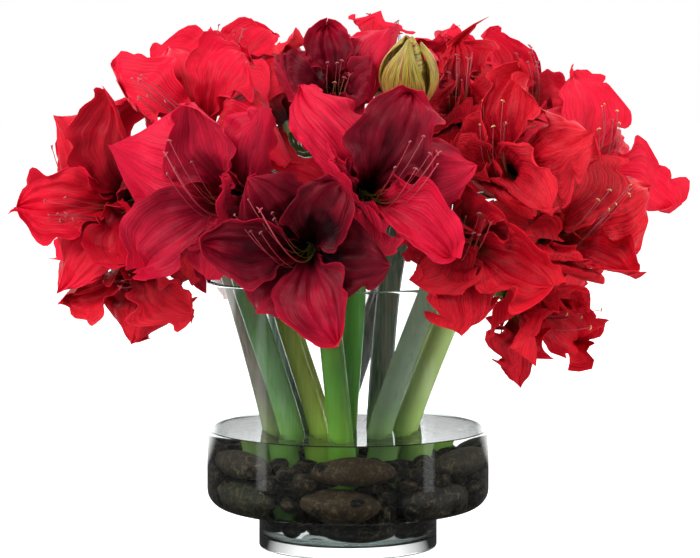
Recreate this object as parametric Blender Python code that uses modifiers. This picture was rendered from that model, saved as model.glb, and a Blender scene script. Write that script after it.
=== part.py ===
"""Amaryllis in a footed glass vase.

Open red blooms and a bud on leafless green scapes, standing in water on a bed of river stones.

Metres, +Z up. The origin is the centre of the vase's foot on the table, and -Y is the front.
Crowded blooms press on each other, so each one keeps to its own cell: the space on its side of the
planes that part it from its neighbours. Every tepal is bent to stay inside its bloom's cell.
"""

import math
import random
from collections import namedtuple

import bmesh
import bpy
from mathutils import Matrix, Vector, noise

MM = 0.001
GAP = 0.3 * MM  # between pieces that touch
UP = Vector((0, 0, 1))

# The vase: a wide glass cylinder on a narrower hollow foot with a thick floor.
VASE_RADIUS = 125 * MM
VASE_HEIGHT = 238 * MM
VASE_WALL = 4 * MM
CORNER_RADIUS = 16 * MM
FOOT_RADIUS = 79 * MM
FOOT_HEIGHT = 36 * MM
FOOT_FLOOR = 10 * MM
FOOT_CORNER = 6 * MM
FOOT_EDGE = 2 * MM
VASE_STEPS = 30
WATER_LEVEL = 106 * MM

# The river stones, in rings: how many, the radius of the ring, how far out its stones reach, the
# height that they stand on, their half length, half width and half height, the angle of the first,
# and the most that one leans.
BODY_FLOOR = FOOT_HEIGHT + VASE_WALL
STONE_REACH = (VASE_RADIUS - VASE_WALL) * math.cos(math.pi / VASE_STEPS) - GAP
StoneRing = namedtuple("StoneRing", "name count radius reach base half_sizes first lean")
STONE_RINGS = (
    StoneRing("foot", 3, 41 * MM, 72 * MM, FOOT_FLOOR + GAP, (33 * MM, 21 * MM, 13 * MM), 40, 3),
    StoneRing("lower", 7, 99 * MM, STONE_REACH, BODY_FLOOR + GAP, (38 * MM, 21 * MM, 14 * MM), 8, 6),
    StoneRing("upper", 6, 97 * MM, STONE_REACH, BODY_FLOOR + 29 * MM, (39 * MM, 20 * MM, 13 * MM), 34, 8),
)
STONE_SEED = 7
STONE_LUMPS = 0.08  # how far a stone departs from an ellipsoid, as a share of its size
STONE_ROOM = 0.9 * MM  # the water's hollows are this much wider all round

# The scapes: the x and y of the cut end, of where each passes the water's surface and the rim's
# height, and its crown, from which the flower stalks spring. All in millimetres.
SCAPE_END = 42 * MM
SCAPE_RADII = (11.5 * MM, 9.5 * MM)
SCAPE_POINTS = 6
SCAPE_SIDES = 8
Scape = namedtuple("Scape", "name end water rim crown heads")
SCAPES = (
    Scape("scape_01", (-58, -4), (-65, -6), (-101, -8), (-126, 2, 286), "bm"),
    Scape("scape_02", (-44, -30), (-49, -34), (-90, -46), (-104, -62, 292), "c"),
    Scape("scape_03", (-40, 24), (-43, 24), (-70, 42), (-88, 62, 300), "pt"),
    Scape("scape_04", (-18, -26), (-23, -29), (-62, -22), (-66, -28, 330), "au"),
    Scape("scape_05", (0, -54), (-6, -58), (-19, -72), (-24, -96, 282), "de"),
    Scape("scape_06", (-4, 0), (-3, -1), (6, 6), (0, 2, 352), "fvx"),
    Scape("scape_07", (-8, 36), (-8, 38), (36, 62), (46, 72, 292), "qs"),
    Scape("scape_08", (26, 12), (27, 13), (38, 18), (62, -8, 338), "hyw"),
    Scape("scape_09", (22, -25), (28, -27), (74, -50), (92, -84, 284), "kl"),
    Scape("scape_10", (44, -8), (51, -9), (102, -14), (124, -32, 290), "jg"),
    Scape("scape_11", (46, 36), (54, 42), (80, 60), (108, 48, 298), "ir"),
)
STALK_RADII = [part * MM for part in (5, 4, 3.8, 6.4, 5.6)]  # from the crown to the ovary's end
OVARY_LENGTH = 17 * MM
STALK_SIDES = 6
STALK_ROOT = 7 * MM  # how deep it is sunk in the crown
STALK_RISE = 0.35  # how straight it leaves the crown, as a share of its reach
STALK_SWING = 0.35  # how straight it meets the bloom

# The blooms. The throat is where the tepals part, in millimetres. The bloom faces an azimuth from
# the front towards +X and an elevation, in degrees. Open is the angle between the bloom's axis and
# its tepals' tips. Where two blooms meet, the one of the higher layer lies over the other.
Bloom = namedtuple("Bloom", "name throat azimuth elevation roll length open layer")
BLOOMS = (
    Bloom("a", (-120, -112, 366), -16, 50, 0, 120, 104, 3.4),
    Bloom("b", (-184, -98, 312), -32, 4, 8, 106, 92, 3.8),
    Bloom("c", (-86, -160, 320), -34, 0, 32, 116, 92, 4.6),
    Bloom("d", (-31, -180, 279), -14, 0, 0, 96, 88, 6.0),
    Bloom("e", (14, -178, 324), 10, 10, 12, 110, 102, 5.2),
    Bloom("f", (-8, -108, 396), -8, 42, 38, 90, 80, 3.6),
    Bloom("g", (140, -130, 334), -32, 34, 24, 96, 90, 4.2),
    Bloom("h", (92, -92, 380), 8, 46, 30, 90, 92, 2.6),
    Bloom("i", (190, -34, 334), 58, 28, 10, 104, 92, 2.4),
    Bloom("j", (160, -122, 282), 28, 16, 12, 132, 90, 3.3),
    Bloom("k", (90, -160, 284), 14, 4, 30, 100, 90, 4.0),
    Bloom("l", (140, -128, 234), 50, -14, 28, 88, 90, 3.6),
    Bloom("m", (-168, -92, 260), -28, -2, 28, 94, 92, 3.0),
    Bloom("p", (-196, 46, 314), -108, 6, 0, 110, 92, 2.0),
    Bloom("q", (2, 164, 300), 178, 2, 20, 112, 96, 3.4),
    Bloom("r", (166, 78, 296), 116, 0, 10, 110, 94, 2.4),
    Bloom("s", (92, 112, 356), 146, 28, 35, 110, 94, 2.8),
    Bloom("t", (-112, 128, 300), -146, 0, 25, 110, 94, 2.6),
    Bloom("u", (-106, 2, 394), -20, 66, 5, 106, 86, 1.6),
    Bloom("v", (32, 30, 404), 160, 76, 15, 102, 92, 1.8),
    Bloom("w", (138, 10, 374), 72, 50, 30, 106, 90, 1.8),
    Bloom("x", (-52, 100, 372), -164, 42, 10, 108, 94, 2.0),
)
BUDS = (Bloom("y", (50, -134, 400), 8, 66, 0, 58, 20, 3.0),)

# One bloom. Its tube holds the roots of three outer and three inner tepals, and of the stamens.
TUBE_LENGTH = 16 * MM
TUBE_RADII = (5.6 * MM, 9.6 * MM)
TUBE_SIDES = 6
TEPALS = 6
TEPAL_THICKNESS = 0.8 * MM
TEPAL_WIDTH = 0.78  # of its length
TEPAL_WIDEST = 0.6  # along its length
TEPAL_BASE = 0.17  # the root's width, of the widest
TEPAL_WRAP = 0.9  # the most of the bloom that half of a tepal goes round, in radians
TEPAL_ROOT = 5 * MM  # how deep the root is sunk in the tube
TEPAL_INSET = 2.6 * MM  # how far the outer tepals' roots are inside the tube's edge
TEPAL_COLUMNS, TEPAL_ROWS = 2, 4
TEPAL_SHARES = (1, 0.92, 0.84)  # how far a crowded tepal may shorten
FIT_PLACES = ((0, 0.6), (0, 0.8), (0, 1), (-0.8, 0.55), (0.8, 0.55), (-0.8, 0.8), (0.8, 0.8))
FIT_OPENINGS = (50, 122)  # degrees
FIT_CHANGES = range(-66, 37, 6)
FIT_MARGIN = 8 * MM
FIT_COSTS = (0.7, 90, 0.4)  # of a degree of change, of all the length lost, and of crossing a wall
FUNNEL_ANGLE = 20  # between the axis and a tepal's root, in degrees
FLARE_HASTE = 1.08  # the flare is complete a little before a tepal's tip
OUTER_STEP = 2.2 * MM  # at the claws, the outer tepals stand this far behind the inner ones
OUTER_DROP = 4 * MM  # and this much further at their tips
OUTER_MORE_OPEN = 10  # degrees
RUFFLE = 1.6 * MM
ARCH = 3 * MM  # how far back a tepal's edges arch towards its tip
STAMEN_RADII = (0.9 * MM, 0.8 * MM, 0.7 * MM)
STAMENS = 3  # the real bloom has six and a style
STAMEN_LENGTH = 0.84  # of a tepal's
STAMEN_ROOT = 4 * MM
STAMEN_RING = 3.4 * MM
STAMEN_SAG, STAMEN_LIFT = 0.16, 0.30  # how far it dips on its way, and how far its end rises again
STAMEN_FAN = 0.1  # how far its end stands out from the others
STAMEN_CLEARANCE = 1.4 * MM
BLOOM_SEED = 11

# A closed bud: its core's radius at places along it, all shares of its length, and the three sheets
# that wrap it, each a little further out and a little longer than the last.
BUD_PLACES = (0, 0.18, 0.4, 0.65, 0.86, 1)
BUD_RADII = (0.1, 0.19, 0.26, 0.24, 0.13, 0.02)
BUD_SIDES = 8
BUD_TEPALS = 3
BUD_STEP = 0.7 * MM
BUD_SHEET = 1.6 * MM
BUD_NECK, BUD_BULGE = 0.02, 0.29  # of its length
BUD_TAPER = 0.62  # how much narrower a sheet is at its tip

# How the cells part neighbouring blooms.
CELL_CLEARANCE = TEPAL_THICKNESS / 2 + 0.2 * MM
CELL_STEP = 0.8 * MM
CELL_SOFTNESS = 26 * MM  # a tepal begins to bend this far from the wall of its cell
CELL_REACH = 250 * MM  # blooms further apart than this don't meet
CELL_TUBE_ROOM = 10 * MM
CELL_LIFT = 12 * MM  # how far out of the line between two throats their wall passes
CELL_SLANT = 0.9  # how much a wall leans over the lower bloom, for each layer between the two
CELL_MOST_SLANT = 1.3
BUD_SHARE = 0.62  # of the room that a bloom takes beside a neighbour
RIM_CLEARANCE = 4 * MM
RIM_SLANT = 32  # degrees that the wall at the vase's rim leans in over the vase

# Each material: its colour and roughness.
LOOKS = {
    "glass": ((0.93, 0.96, 0.96), 0.02),
    "water": ((0.35, 0.42, 0.40), 0.02),
    "stone": ((0.09, 0.08, 0.07), 0.55),
    "scape": ((0.20, 0.42, 0.10), 0.45),
    "bloom": ((0.72, 0.02, 0.05), 0.55),
    "bud": ((0.42, 0.42, 0.08), 0.55),
}


def facing(azimuth, elevation):
    """The unit vector at an azimuth from the front towards +X and an elevation, in degrees."""
    turn, rise = math.radians(azimuth), math.radians(elevation)
    return Vector((math.sin(turn) * math.cos(rise), -math.cos(turn) * math.cos(rise), math.sin(rise)))


def smoothstep(value):
    value = min(max(value, 0), 1)
    return value * value * (3 - 2 * value)


def material(name):
    if name in bpy.data.materials:
        return bpy.data.materials[name]
    colour, roughness = LOOKS[name]
    made = bpy.data.materials.new(name)
    made.use_nodes = True
    shader = made.node_tree.nodes["Principled BSDF"]
    shader.inputs["Base Color"].default_value = (*colour, 1)
    shader.inputs["Roughness"].default_value = roughness
    shader.inputs["Metallic"].default_value = 0
    shader.inputs["Transmission Weight"].default_value = 1 if name in ("glass", "water") else 0
    return made


def add(name, mesh, look, collection):
    thing = bpy.data.objects.new(name, mesh)
    mesh.materials.clear()
    mesh.materials.append(material(look))
    collection.objects.link(thing)
    return thing


def evaluated_mesh(thing):
    """A new mesh of an object as its modifiers or its bevel leave it."""
    bpy.context.view_layer.update()
    graph = bpy.context.evaluated_depsgraph_get()
    return bpy.data.meshes.new_from_object(thing.evaluated_get(graph))


def smooth(mesh, sharp_angle=40):
    mesh.shade_smooth()
    mesh.set_sharp_from_angle(angle=math.radians(sharp_angle))


def arc(centre, radius, start, end, steps):
    """Points on an arc in a profile's plane, from one angle to another in degrees."""
    angles = (math.radians(start + (end - start) * step / steps) for step in range(steps + 1))
    return [(centre[0] + radius * math.cos(a), centre[1] + radius * math.sin(a)) for a in angles]


def inner_profile(inset):
    """The vase's inside from the axis to the top of its straight wall, set in by a distance."""
    foot = FOOT_RADIUS - VASE_WALL - inset
    wall = VASE_RADIUS - VASE_WALL - inset
    floor = FOOT_HEIGHT + VASE_WALL + inset
    corner = CORNER_RADIUS - VASE_WALL
    return [
        (0, FOOT_FLOOR + inset),
        *arc((foot - FOOT_CORNER, FOOT_FLOOR + inset + FOOT_CORNER), FOOT_CORNER, -90, 0, 1),
        (foot, floor),
        *arc((wall - corner, floor + corner), corner, -90, 0, 2),
    ]


def turned(name, profile, look, collection):
    """The solid that a profile makes when it is turned round the Z axis."""
    mesh = bpy.data.meshes.new(name)
    corners = [(radius, 0, height) for radius, height in profile]
    mesh.from_pydata(corners, [(index, index + 1) for index in range(len(corners) - 1)], [])
    thing = add(name, mesh, look, collection)
    screw = thing.modifiers.new("Turn", "SCREW")
    screw.steps = screw.render_steps = VASE_STEPS
    screw.use_merge_vertices = True
    screw.merge_threshold = 0.01 * MM
    return thing


def build_vase(collection):
    lip = VASE_WALL / 2
    profile = [
        *inner_profile(0),
        *arc((VASE_RADIUS - lip, VASE_HEIGHT - lip), lip, 180, 0, 2),
        *arc((VASE_RADIUS - CORNER_RADIUS, FOOT_HEIGHT + CORNER_RADIUS), CORNER_RADIUS, 0, -90, 3),
        (FOOT_RADIUS, FOOT_HEIGHT),
        *arc((FOOT_RADIUS - FOOT_EDGE, FOOT_EDGE), FOOT_EDGE, 0, -90, 1),
        (0, 0),
    ]
    vase = turned("vase", profile, "glass", collection)
    vase.modifiers["Turn"].use_smooth_shade = True


def stone_mesh(name, half_sizes, seed):
    """A water-worn stone: an ellipsoid with shallow lumps."""
    shape = bmesh.new()
    bmesh.ops.create_icosphere(shape, subdivisions=2, radius=1)
    for vertex in shape.verts:
        lump = 1 + STONE_LUMPS * noise.noise(vertex.co * 1.1 + Vector((seed, 0, 0)))
        vertex.co = Vector([half * lump * part for half, part in zip(half_sizes, vertex.co)])
    mesh = bpy.data.meshes.new(name)
    shape.to_mesh(mesh)
    shape.free()
    return mesh


def seat_stone(stone, angle, reach, base):
    """Moves a stone down to the height of its bed, and out until it touches the wall."""
    bpy.context.view_layer.update()
    out = Vector((math.cos(angle), math.sin(angle), 0))
    points = [stone.matrix_world @ vertex.co for vertex in stone.data.vertices]
    stone.location.z += base - min(point.z for point in points)
    for _ in range(4):
        widest = max(Vector((point.x, point.y)).length for point in points)
        shift = out * (reach - widest)
        stone.location += shift
        points = [point + shift for point in points]


def build_stones(collection):
    """Rings of stones, each with its length along the ring, on the foot's floor and the body's."""
    draw = random.Random(STONE_SEED)
    stones = []
    for ring in STONE_RINGS:
        for index in range(ring.count):
            name = f"stone_{ring.name}_{index + 1}"
            angle = math.radians(ring.first + 360 * index / ring.count + draw.uniform(-2, 2))
            sizes = [half * draw.uniform(0.93, 1) for half in ring.half_sizes]
            stone = add(name, stone_mesh(name, sizes, draw.uniform(0, 90)), "stone", collection)
            smooth(stone.data)
            lean = math.radians(draw.uniform(-ring.lean, ring.lean))
            stone.rotation_euler = (lean, lean / 2, angle + math.pi / 2)
            stone.location = (ring.radius * math.cos(angle), ring.radius * math.sin(angle), 0)
            seat_stone(stone, angle, ring.reach, ring.base)
            stones.append(stone)
    return stones


def tube(name, points, radii, sides, look, collection, section=None):
    """A closed tube mesh along a line of points, with a radius at each one."""
    curve = bpy.data.curves.new(name, "CURVE")
    curve.dimensions = "3D"
    curve.twist_mode = "MINIMUM"
    curve.use_fill_caps = True
    if section:
        curve.bevel_mode = "OBJECT"
        curve.bevel_object = section
    else:
        curve.bevel_depth = 1
        curve.bevel_resolution = sides // 2 - 2
    spline = curve.splines.new("POLY")
    spline.points.add(len(points) - 1)
    for place, point, radius in zip(spline.points, points, radii):
        place.co = (*point, 1)
        place.radius = radius
    guide = bpy.data.objects.new(name, curve)
    collection.objects.link(guide)
    mesh = evaluated_mesh(guide)
    bpy.data.objects.remove(guide)
    shape = bmesh.new()
    shape.from_mesh(mesh)
    bmesh.ops.remove_doubles(shape, verts=shape.verts, dist=0.005 * MM)
    bmesh.ops.triangulate(shape, faces=[face for face in shape.faces if len(face.verts) > 4])
    bmesh.ops.recalc_face_normals(shape, faces=shape.faces)
    shape.to_mesh(mesh)
    shape.free()
    return add(name, mesh, look, collection)


def fuse(pieces, helpers):
    """Joins overlapping closed pieces into the first of them, as one solid, and removes the rest."""
    body, rest = pieces[0], pieces[1:]
    helpers.objects.unlink(body)
    join = body.modifiers.new("Join", "BOOLEAN")
    join.operation = "UNION"
    join.operand_type = "COLLECTION"
    join.collection = helpers
    join.solver = "MANIFOLD"
    bpy.context.scene.collection.objects.link(body)
    mesh = evaluated_mesh(body)
    bpy.context.scene.collection.objects.unlink(body)
    body.modifiers.clear()
    body.data = mesh
    for piece in rest:
        bpy.data.objects.remove(piece)
    return body


def through(points, count):
    """Points along the smooth curve that passes through the given ones."""
    ends = [2 * points[0] - points[1], *points, 2 * points[-1] - points[-2]]
    found = []
    for step in range(count):
        place = (len(points) - 1) * step / (count - 1)
        index = min(int(place), len(points) - 2)
        t = place - index
        a, b, c, d = ends[index : index + 4]
        bend = (2 * a - 5 * b + 4 * c - d) * t * t + (3 * b - a - 3 * c + d) * t**3
        found.append((2 * b + (c - a) * t + bend) / 2)
    return found


def stalk_points(crown, bloom):
    """From the crown round to the back of the bloom, with the ovary's points last."""
    forward = facing(bloom.azimuth, bloom.elevation)
    end = Vector(bloom.throat) * MM - forward * (TUBE_LENGTH + GAP)
    ovary = [end - forward * OVARY_LENGTH, end - forward * OVARY_LENGTH / 2, end]
    reach = (ovary[0] - crown).length
    rise = crown + UP * reach * STALK_RISE
    swing = ovary[0] - forward * reach * STALK_SWING
    bent = []
    for t in (0, 0.5):
        held = crown * (1 - t) ** 3 + rise * 3 * t * (1 - t) ** 2
        bent.append(held + swing * 3 * t * t * (1 - t) + ovary[0] * t**3)
    return bent + ovary


def build_scapes(collection, helpers):
    """Each scape with the flower stalks that grow from its crown."""
    heads = {bloom.name: bloom for bloom in BLOOMS + BUDS}
    scapes = []
    for scape in SCAPES:
        crown = Vector(scape.crown) * MM
        levels = ((scape.end, SCAPE_END), (scape.water, WATER_LEVEL), (scape.rim, VASE_HEIGHT))
        marks = [Vector((x * MM, y * MM, level)) for (x, y), level in levels]
        route = through([*marks, crown], SCAPE_POINTS)
        first, last = SCAPE_RADII
        radii = [first + (last - first) * index / (SCAPE_POINTS - 1) for index in range(SCAPE_POINTS)]
        pieces = [tube(scape.name, route, radii, SCAPE_SIDES, "scape", helpers)]
        for head in scape.heads:
            stalk = stalk_points(crown - UP * STALK_ROOT, heads[head])
            pieces.append(tube(f"stalk_{head}", stalk, STALK_RADII, STALK_SIDES, "scape", helpers))
        body = fuse(pieces, helpers)
        collection.objects.link(body)
        smooth(body.data)
        scapes.append(body)
    return scapes


def build_water(stones, scapes, collection, helpers):
    """The water fills the vase round the stones and the scapes."""
    profile = [*inner_profile(GAP), (VASE_RADIUS - VASE_WALL - GAP, WATER_LEVEL), (0, WATER_LEVEL)]
    water = turned("water", profile[::-1], "water", collection)
    for stone in stones:
        room = stone.copy()
        room.scale = [1 + 2 * STONE_ROOM / size for size in stone.dimensions]
        helpers.objects.link(room)
    for scape in scapes:
        hole = scape.copy()
        hole.data = scape.data.copy()
        widen(hole.data, GAP)
        helpers.objects.link(hole)
    cut = water.modifiers.new("Hollows", "BOOLEAN")
    cut.operation = "DIFFERENCE"
    cut.operand_type = "COLLECTION"
    cut.collection = helpers
    cut.solver = "MANIFOLD"
    mesh = evaluated_mesh(water)
    water.modifiers.clear()
    water.data = mesh
    keep_largest(mesh)
    for helper in list(helpers.objects):
        bpy.data.objects.remove(helper)


def widen(mesh, distance):
    """Moves every point of a closed mesh out along its normal."""
    places = [vertex.co + vertex.normal * distance for vertex in mesh.vertices]
    for vertex, place in zip(mesh.vertices, places):
        vertex.co = place


def keep_largest(mesh):
    """Leaves only the largest of a mesh's separate bodies."""
    shape = bmesh.new()
    shape.from_mesh(mesh)
    waiting = set(shape.verts)
    bodies = []
    while waiting:
        body, edge = set(), [next(iter(waiting))]
        while edge:
            vertex = edge.pop()
            if vertex in body:
                continue
            body.add(vertex)
            edge += [link.other_vert(vertex) for link in vertex.link_edges]
        bodies.append(body)
        waiting -= body
    bodies.sort(key=len)
    for body in bodies[:-1]:
        bmesh.ops.delete(shape, geom=list(body), context="VERTS")
    shape.to_mesh(mesh)
    shape.free()


def axes_of(bloom):
    """The way a bloom faces, and the directions across it, sideways and up."""
    forward = facing(bloom.azimuth, bloom.elevation)
    side = UP.cross(forward).normalized()
    return forward, side, forward.cross(side)


def reach_of(bloom):
    return bloom.length * (BUD_SHARE if bloom in BUDS else 1)


def walls_of(bloom):
    """The walls of a bloom's cell: for each, a point on it, its normal, which points out, and softness.

    A tepal begins to bend at that distance from the wall, which never reaches the throat.
    """
    throat = Vector(bloom.throat) * MM
    walls = []
    for other in BLOOMS + BUDS:
        apart = Vector(other.throat) * MM - throat
        if other is bloom or apart.length > CELL_REACH:
            continue
        toward = apart.normalized()
        share = reach_of(bloom) / (reach_of(bloom) + reach_of(other))
        outward = facing(bloom.azimuth, bloom.elevation) + facing(other.azimuth, other.elevation)
        outward -= toward * outward.dot(toward)
        outward.normalize()
        room = apart.length * min(share, 1 - share) - CELL_TUBE_ROOM
        most = min(CELL_MOST_SLANT, room / (CELL_LIFT + TUBE_LENGTH))
        slant = min(max(CELL_SLANT * (bloom.layer - other.layer), -most), most)
        normal = (toward - outward * slant).normalized()
        walls.append((throat + apart * share + outward * CELL_LIFT, normal))
    walls.append(rim_wall(throat))
    return [
        (place, normal, min(CELL_SOFTNESS, 0.8 * (place - throat).dot(normal)))
        for place, normal in walls
    ]


def rim_wall(throat):
    """The wall that keeps a bloom off the vase: it passes the rim and leans in over the vase."""
    out = Vector((throat.x, throat.y, 0)).normalized()
    lean = math.radians(RIM_SLANT)
    point = out * (VASE_RADIUS + RIM_CLEARANCE) + UP * (VASE_HEIGHT + RIM_CLEARANCE)
    return point, -(out * math.cos(lean) + UP * math.sin(lean))


def contain(point, walls):
    """Bends a point back from the walls of its cell: softly near them, and never across one."""
    for place, normal, softness, clearance in walls:
        depth = (point - place).dot(normal)
        if depth > -softness:
            room = softness - clearance
            left = clearance + room * math.exp(-(depth + softness) / room)
            point = point - normal * (depth + left)
    for _ in range(4):
        for place, normal, _, clearance in walls:
            depth = (point - place).dot(normal) + clearance
            if depth > 0:
                point = point - normal * depth
    return point


Tepal = namedtuple("Tepal", "index outer turn length width open twist swing waves")
Flower = namedtuple("Flower", "bloom throat forward side up walls tepals")


def draw_tepal(bloom, index):
    """One tepal before it is fitted into the cell. Every second one is outer, behind the others."""
    draw = random.Random(f"{BLOOM_SEED} {bloom.name} {index}")
    outer = index % 2 == 0
    return Tepal(
        index=index,
        outer=outer,
        turn=math.radians(bloom.roll + 360 * index / TEPALS + draw.uniform(-5, 5)),
        length=bloom.length * MM * draw.uniform(0.95, 1.05),
        width=bloom.length * MM * TEPAL_WIDTH * draw.uniform(0.95, 1.05) * (1 if outer else 0.92),
        open=bloom.open + (OUTER_MORE_OPEN if outer else 0) + draw.uniform(-5, 5),
        twist=math.radians(draw.uniform(-5, 5)),
        swing=bloom.length * MM * draw.uniform(-0.07, 0.07),
        waves=[(draw.uniform(1.4, 2.1), draw.uniform(0, 1)) for _ in range(2)],
    )


def tepal_half_width(tepal, v):
    """Half of a tepal's width at a share of its length: a narrow claw, a broad blade, a pointed tip."""
    rise = smoothstep(v / TEPAL_WIDEST)
    fall = 1 - max((v - TEPAL_WIDEST) / (1 - TEPAL_WIDEST), 0) ** 2.4
    return tepal.width / 2 * (TEPAL_BASE + (1 - TEPAL_BASE) * rise) * max(fall, 0) ** 0.75


def opening_at(flower, turn):
    """How far the bloom opens in one direction: each tepal's own opening, and between those in between."""
    place = (turn - math.radians(flower.bloom.roll)) * TEPALS / (2 * math.pi) % TEPALS
    first = flower.tepals[int(place) % TEPALS].open
    second = flower.tepals[(int(place) + 1) % TEPALS].open
    return math.radians(first + (second - first) * (place % 1))


def flare(bloom, opening, distance, steps=16):
    """How far the bloom's surface is from its axis and along it, and its angle, at a distance over it."""
    start, length = math.radians(FUNNEL_ANGLE), bloom.length * MM
    out, along, stride = TUBE_RADII[1] - TEPAL_INSET, -TEPAL_ROOT, distance / steps
    for step in range(steps):
        angle = start + (opening - start) * smoothstep((step + 0.5) * stride / length * FLARE_HASTE)
        out += math.sin(angle) * stride
        along += math.cos(angle) * stride
    return out, along, start + (opening - start) * smoothstep(distance / length * FLARE_HASTE)


def tepal_point(flower, tepal, u, v):
    """The point of a tepal's middle surface at u across it, from -1 to 1, and v along it."""
    distance = tepal.length * v
    out, _, _ = flare(flower.bloom, math.radians(tepal.open), distance)
    aside = u * min(tepal_half_width(tepal, v), out * TEPAL_WRAP) + tepal.swing * v * v
    turn = tepal.turn + aside / out
    out, along, angle = flare(flower.bloom, opening_at(flower, turn), distance)
    ray = flower.side * math.cos(turn) + flower.up * math.sin(turn)
    inward = flower.forward * math.sin(angle) - ray * math.cos(angle)
    frequency, phase = tepal.waves[u > 0]
    ruffle = RUFFLE * (1 + math.sin(2 * math.pi * (frequency * v + phase)))
    edge = u * u * smoothstep(v * 1.6)
    lift = aside * math.tan(tepal.twist * v * v)
    lift += -OUTER_DROP * v - edge * (ruffle + ARCH * v) if tepal.outer else OUTER_STEP + edge * ruffle
    return flower.throat + ray * out + flower.forward * along + inward * lift


def fitted(flower, tepal):
    """The tepal opened as far as its cell lets it, and shortened where it still can't pass."""
    best = None
    least, most = FIT_OPENINGS
    change_cost, length_cost, wall_cost = FIT_COSTS
    for share in TEPAL_SHARES:
        for change in FIT_CHANGES:
            tried = tepal._replace(open=tepal.open + change, length=tepal.length * share)
            if not least <= tried.open <= most:
                continue
            alike = flower._replace(tepals=[tried] * TEPALS)
            cost = abs(change) * change_cost + (1 - share) * length_cost
            for u, v in FIT_PLACES:
                point = tepal_point(alike, tried, u, v)
                for place, normal, _ in flower.walls:
                    depth = ((point - place).dot(normal) + FIT_MARGIN) / MM
                    cost += wall_cost * max(depth, 0) ** 1.2
            if best is None or cost < best[0]:
                best = (cost, tried)
    return best[1]


def flower_of(bloom):
    """A bloom with its cell's walls and its tepals fitted between them."""
    forward, side, up = axes_of(bloom)
    flower = Flower(bloom, Vector(bloom.throat) * MM, forward, side, up, walls_of(bloom), None)
    return flower._replace(tepals=[fitted(flower, draw_tepal(bloom, index)) for index in range(TEPALS)])


def walls_round(flower, tepal):
    """The cell's walls with the tepal's clearance from each, so that tepals pressed to one don't touch.

    A wall in front of the bloom meets the inner tepals first, and one behind it the outer ones.
    """
    walls = []
    for place, normal, softness in flower.walls:
        first = tepal.outer == (normal.dot(flower.forward) < 0)
        order = tepal.index // 2 + (0 if first else TEPALS // 2)
        walls.append((place, normal, softness, CELL_CLEARANCE + order * CELL_STEP))
    return walls


def build_tepal(flower, tepal, helpers):
    walls = walls_round(flower, tepal)
    shape = bmesh.new()
    bmesh.ops.create_grid(shape, x_segments=TEPAL_COLUMNS, y_segments=TEPAL_ROWS, size=1)
    for vertex in shape.verts:
        u, v = vertex.co.x, (vertex.co.y + 1) / 2
        if v == 0:
            u = 0
        vertex.co = contain(tepal_point(flower, tepal, u, v), walls)
    bmesh.ops.remove_doubles(shape, verts=shape.verts, dist=0.01 * MM)
    bmesh.ops.triangulate(shape, faces=shape.faces)
    mesh = bpy.data.meshes.new(f"tepal_{flower.bloom.name}_{tepal.index}")
    shape.to_mesh(mesh)
    shape.free()
    thing = add(mesh.name, mesh, "bloom", helpers)
    shell = thing.modifiers.new("Thickness", "SOLIDIFY")
    shell.thickness = TEPAL_THICKNESS
    shell.offset = 0
    return thing


def stamen_points(bloom, index, count, steps):
    """A filament leans down with the others as it leaves the throat, and its end curves up."""
    draw = random.Random(f"{BLOOM_SEED} {bloom.name} stamen {index}")
    forward, side, up = axes_of(bloom)
    turn = 2 * math.pi * (index + draw.uniform(-0.2, 0.2)) / count
    fan = side * math.cos(turn) + up * math.sin(turn)
    length = bloom.length * MM * STAMEN_LENGTH * draw.uniform(0.9, 1.06)
    points = []
    for step in range(steps + 1):
        t = step / steps
        along = forward * (length * (t - 0.12 * t * t) - STAMEN_ROOT)
        droop = up * length * (STAMEN_LIFT * t**3 - STAMEN_SAG * math.sin(math.pi * t))
        aside = fan * (STAMEN_RING + length * STAMEN_FAN * t)
        points.append(Vector(bloom.throat) * MM + along + droop + aside)
    return points


def build_bloom(bloom, collection, helpers, section):
    """A tube that holds the roots of the tepals and of the stamens, all one solid."""
    flower = flower_of(bloom)
    ends = [flower.throat - flower.forward * TUBE_LENGTH, flower.throat]
    pieces = [tube(f"bloom_{bloom.name}", ends, TUBE_RADII, TUBE_SIDES, "bloom", helpers)]
    pieces += [build_tepal(flower, tepal, helpers) for tepal in flower.tepals]
    walls = [(*wall, STAMEN_CLEARANCE) for wall in flower.walls]
    for index in range(STAMENS):
        points = stamen_points(bloom, index, STAMENS, len(STAMEN_RADII) - 1)
        points = [contain(point, walls) for point in points]
        name = f"stamen_{bloom.name}_{index}"
        pieces.append(tube(name, points, STAMEN_RADII, 3, "bloom", helpers, section))
    body = fuse(pieces, helpers)
    body.data.transform(Matrix.Translation(-flower.throat))
    body.location = flower.throat
    collection.objects.link(body)
    smooth(body.data, 60)


def build_bud(bud, collection, helpers):
    """A closed bud: a pointed core, wrapped by tepals that overlap along its length."""
    forward, side, up = axes_of(bud)
    throat = Vector(bud.throat) * MM
    length = bud.length * MM
    route = [throat + forward * (length * place - TUBE_LENGTH * (1 - place)) for place in BUD_PLACES]
    radii = [part * length for part in BUD_RADII]
    pieces = [tube(f"bud_{bud.name}", route, radii, BUD_SIDES, "bud", helpers)]
    for index in range(BUD_TEPALS):
        pieces.append(build_bud_tepal(bud, index, helpers))
    body = fuse(pieces, helpers)
    body.data.transform(Matrix.Translation(-throat))
    body.location = throat
    collection.objects.link(body)
    smooth(body.data, 50)


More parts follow.
